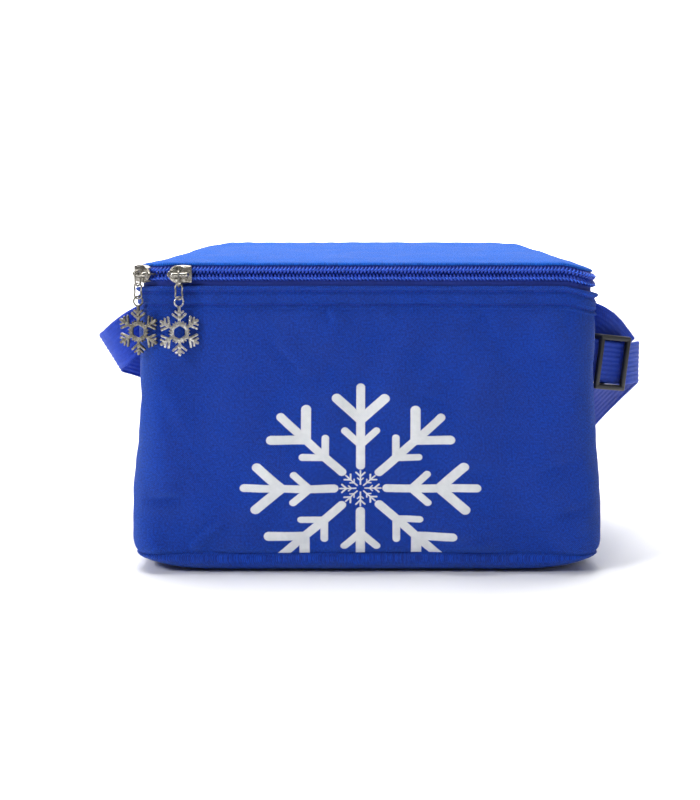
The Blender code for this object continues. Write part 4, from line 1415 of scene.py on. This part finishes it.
def ribbon(name, route, width, thick, mat, ribs=9, step=1.6, sides=None, tilt=None, cap=True):
    """Woven webbing: ribbed across its width, with soft edges, along a route."""
    p, s = evenly(route, step)
    t = np.gradient(p, axis=0)
    t /= np.linalg.norm(t, axis=1, keepdims=True)
    up = np.array([0, 0, 1.0])
    w = up - (t @ up)[:, None] * t
    w /= np.linalg.norm(w, axis=1, keepdims=True)
    if tilt is not None:
        ang = np.radians(np.interp(s, *tilt))[:, None]
        n0 = np.cross(t, w)
        w = w * np.cos(ang) + n0 * np.sin(ang)
    n = np.cross(t, w)
    across = np.linspace(-1, 1, ribs * 6 + 1)
    edge = 1 - np.clip((np.abs(across) - 0.93) / 0.07, 0, 1) ** 2 * 0.55
    rib = 0.10 * np.cos(across * ribs * math.pi)
    face = (thick / 2 + rib - 0.1) * edge
    # The edges wave a little, and the band cups slightly.
    wav = 0.22 * waves(len(name), 14, 40, 6, s, 0 * s)
    cup = 0.25 * waves(len(name) + 7, 30, 90, 5, s, 0 * s)
    half = width / 2 + wav[:, None] * 0.35
    base = p[:, None] + w[:, None] * (across[None, :, None] * half[..., None])
    base = base + n[:, None] * (cup[:, None] * (across**2 - 0.33)[None] * 1.0)[..., None]
    outer = base + n[:, None] * face[None, :, None]
    inner = (base - n[:, None] * face[None, :, None])[:, ::-1]
    P = np.concatenate([outer, inner], 1)
    v = np.concatenate([across * width / 2, across[::-1] * width / 2, across[:1] * width / 2])
    UV = np.stack(np.meshgrid(s, v, indexing="ij"), -1)
    return sheet(name, P, UV, mat, wrap_c=True, caps=True)


GLIDE_YAW, GLIDE_ROLL = math.radians(30.0), math.radians(8.0)


def turned_glide(points):
    """Points near the glide, turned with it round its middle."""
    p = np.array(points, float) - np.array([115.8, -9.6, 88.0])
    x = p[..., 0] * math.cos(GLIDE_ROLL) + p[..., 2] * math.sin(GLIDE_ROLL)
    z = -p[..., 0] * math.sin(GLIDE_ROLL) + p[..., 2] * math.cos(GLIDE_ROLL)
    q = np.stack([x * math.cos(GLIDE_YAW) - p[..., 1] * math.sin(GLIDE_YAW),
                  x * math.sin(GLIDE_YAW) + p[..., 1] * math.cos(GLIDE_YAW), z], -1)
    return q + np.array([115.8, -9.6, 88.0])


STRAP_ROUTE = [
    (-104.4, 7.0, 105.0), (-105.4, -1.0, 105.8), (-108.6, -7.0, 104.4), (-113.5, -9.6, 100.2),
    (-119.0, -8.0, 95.2), (-122.6, -2.5, 92.3), (-121.4, 4.5, 90.8), (-115.5, 10.5, 88.5), (-109.3, 20.0, 85.0),
    (-107.0, 36.0, 78.0), (-107.6, 58.0, 66.0), (-106.5, 82.0, 49.0), (-99.0, 104.0, 29.0),
    (-80.0, 120.5, 14.2), (-42.0, 126.0, 10.8), (0.0, 125.5, 10.8), (42.0, 126.0, 10.8),
    (84.0, 121.0, 14.5), (106.0, 105.0, 31.0), (119.0, 80.0, 52.0), (128.0, 50.0, 70.0),
    (132.4, 26.0, 81.0), (132.6, 10.0, 85.6), (129.6, 2.0, 86.4),
    *[tuple(turned_glide((x, -9.6, 88.0))) for x in (126.5, 121.0, 115.8, 111.0, 107.4)],
    (106.2, -14.0, 89.2), (104.6, -9.5, 89.6), (104.3, -2.0, 90.0), (104.2, 6.0, 90.4),
]


def even_route(points, per=8):
    padded = [points[0], *points, points[-1]]
    out = []
    for a, b, c, d in zip(padded, padded[1:], padded[2:], padded[3:]):
        a, b, c, d = (np.array(q, float) for q in (a, b, c, d))
        for i in range(per):
            t = i / per
            out.append(
                0.5 * (2 * b + (c - a) * t + (2 * a - 5 * b + 4 * c - d) * t * t
                       + (3 * b - a - 3 * c + d) * t**3)
            )
    out.append(np.array(points[-1], float))
    return np.array(out)


strap = ribbon("strap_ribbon", even_route(STRAP_ROUTE), 20.0, 1.5, M_WEB,
               tilt=([0, 18, 32, 41, 52, 95, 5000], [0, 0, -20, -36, -30, 0, 0]))
dress(strap, "strap", ["strap_webbing"])
sewn = ribbon(
    "strap_end_sewn",
    even_route([tuple(turned_glide(p)) for p in ((127.2, -6.9, 88.0), (125.6, -7.4, 88.0), (123.0, -7.75, 88.0), (120.4, -7.8, 88.0))]),
    19.0, 1.1, M_WEB, step=0.8,
)
dress(sewn, "strap", ["strap_end_fold"])
tab = ribbon(
    "strap_tab_right",
    even_route([(104.2, 8.0, 105.5), (104.8, 2.0, 106.6), (107.4, -2.4, 106.8), (112.0, -4.0, 104.2),
                (116.8, -3.2, 100.0), (120.6, -1.6, 95.6), (123.4, -0.2, 92.0)]),
    19.0, 1.3, M_WEB, step=1.0,
)
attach(tab, "strap")


def side_x(side, y, z):
    """The side wall's outer x at a place."""
    s = (BACK_SEAM_Y - y) if side < 0 else S_WRAP - (BACK_SEAM_Y - y)
    P, _ = body_point(np.array([s]), np.array([float(z)]))
    return float(P[0, 0])


for side, tag in ((-1, "left"), (1, "right")):
    route = []
    for y in np.linspace(-12.2, 12.2, 9):
        x = max(abs(side_x(side, y, 101.0)), abs(side_x(side, y, 108.0)), abs(side_x(side, y, 94.0)))
        route.append((side * (x + 0.75), y, 101.0))
    obj = ribbon(f"strap_patch_{tag}", np.array(route), 20.4, 1.5, M_WEB, step=1.2)
    dress(obj, "bag", [f"strap_anchor_{tag}"])


# The glide: a rounded three-bar slider in black plastic.
GX, GY, GZ = 115.8, -9.6, 88.0


def glide_bars():
    """Front side bars, rails and the middle bar behind the webbing, as overlapping rounded bars."""
    yf, yb = GY - 0.75 - 0.75 - 2.3, GY + 0.75 + 1.45 + 1.5
    rail = 10.5
    bars = [
        ((GX - 9, yf, GZ + rail), (GX + 9, yb, GZ + rail + 2.5), 0.8),
        ((GX - 9, yf, GZ - rail - 2.5), (GX + 9, yb, GZ - rail), 0.8),
        ((GX - 9, yf, GZ - rail - 1.2), (GX - 6.5, yf + 2.3, GZ + rail + 1.2), 0.75),
        ((GX + 6.5, yf, GZ - rail - 1.2), (GX + 9, yf + 2.3, GZ + rail + 1.2), 0.75),
        ((GX - 1.25, yb - 1.5, GZ - rail - 1.2), (GX + 1.25, yb, GZ + rail + 1.2), 0.6),
    ]
    return [rounded_box(f"tmp_bar_{i}", lo, hi, r, M_BLACK, turned_glide) for i, (lo, hi, r) in enumerate(bars)]


glide = joined("glide_frame", glide_bars())
dress(glide, "glide", ["tri_glide"])

# ---------------------------------------------------------------- sewing


def stitch(a, b, r=0.2, bow=0.12, normal=(0, 0, 1)):
    """One stitch: a short thread that dips into the cloth at both ends."""
    a, b, n = np.array(a, float), np.array(b, float), np.array(normal, float)
    k = np.array([0.0, 0.16, 0.5, 0.84, 1.0])
    lift = np.array([-0.5, 0.55, 1.0, 0.55, -0.5]) * bow * 2
    pts = a + (b - a) * k[:, None] + n * lift[:, None]
    return tube(pts, [r * 0.6, r, r * 1.05, r, r * 0.6], 6, flat=0.8, up=n)


def seam(name, place, s0, s1, length, gap, body, slot, mat=None, r=0.2):
    """A row of stitches. place(s) gives a point and its outward normal."""
    shapes = []
    rng = np.random.default_rng(len(name) * 7 + 1)
    s = s0 + gap
    while s + length < s1 - gap:
        l = length * rng.uniform(0.93, 1.07)
        P, N = place(np.array([s, s + l]))
        shapes.append(stitch(P[0], P[1], r, 0.13, N[0]))
        s += l + gap
    obj = many(name, shapes, mat or M_THREAD)
    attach(obj, body)
    return obj


for i, z in enumerate(STITCH_Z):
    seam(
        f"hem_stitch_{i + 1}",
        lambda s, z=z: body_point(s, z + 0.12 * np.sin(s / 23.0), 0.1),
        0.6, S_WRAP - 0.6, 2.7, 0.55, "bag", "body_fabric",
    )


def anchor_seams(side):
    shapes = []
    x = side * (abs(side_x(side, 0, 101.0)) + 1.55)
    box = [(-9.5, 92.6), (9.5, 92.6), (9.5, 109.4), (-9.5, 109.4)]
    lines = [(box[i], box[(i + 1) % 4]) for i in range(4)] + [(box[0], box[2]), (box[1], box[3])]
    for (y0, z0), (y1, z1) in lines:
        d = math.hypot(y1 - y0, z1 - z0)
        count = int(d / 2.6)
        for k in range(count):
            a, b = (k + 0.1) / count, (k + 0.9) / count
            shapes.append(
                stitch((x, y0 + (y1 - y0) * a, z0 + (z1 - z0) * a), (x, y0 + (y1 - y0) * b, z0 + (z1 - z0) * b),
                       0.24, 0.13, (side, 0, 0))
            )
    return shapes


for side, tag in ((-1, "left"), (1, "right")):
    obj = many(f"patch_stitch_{tag}", anchor_seams(side), M_THREAD)
    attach(obj, "bag")
shapes = []
for x in (122.2, 124.6):
    for k in range(6):
        z0 = 80.2 + k * 2.65
        a, b = turned_glide(((x, -10.45, z0), (x, -10.45, z0 + 2.1)))
        shapes.append(stitch(a, b, 0.25, 0.14, (0.5, -0.87, 0)))
obj = many("strap_end_stitch", shapes, M_THREAD)
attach(obj, "strap")


# Back seams: the back panel laps over the wrap's ends, with a row of stitches beside each seam.
for i, (s_at, tag) in enumerate(((S_WRAP + 3.0, "right"), (S_ALL - 3.0, "left"))):
    shapes = []
    z = 14.0
    while z < 124:
        P, N = body_point(np.array([s_at, s_at]), np.array([z, z + 2.6]), 0.08)
        shapes.append(stitch(P[0], P[1], 0.24, 0.13, N[0]))
        z += 3.2
    obj = many(f"back_stitch_{tag}", shapes, M_THREAD)
    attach(obj, "bag")

bpy.context.view_layer.update()
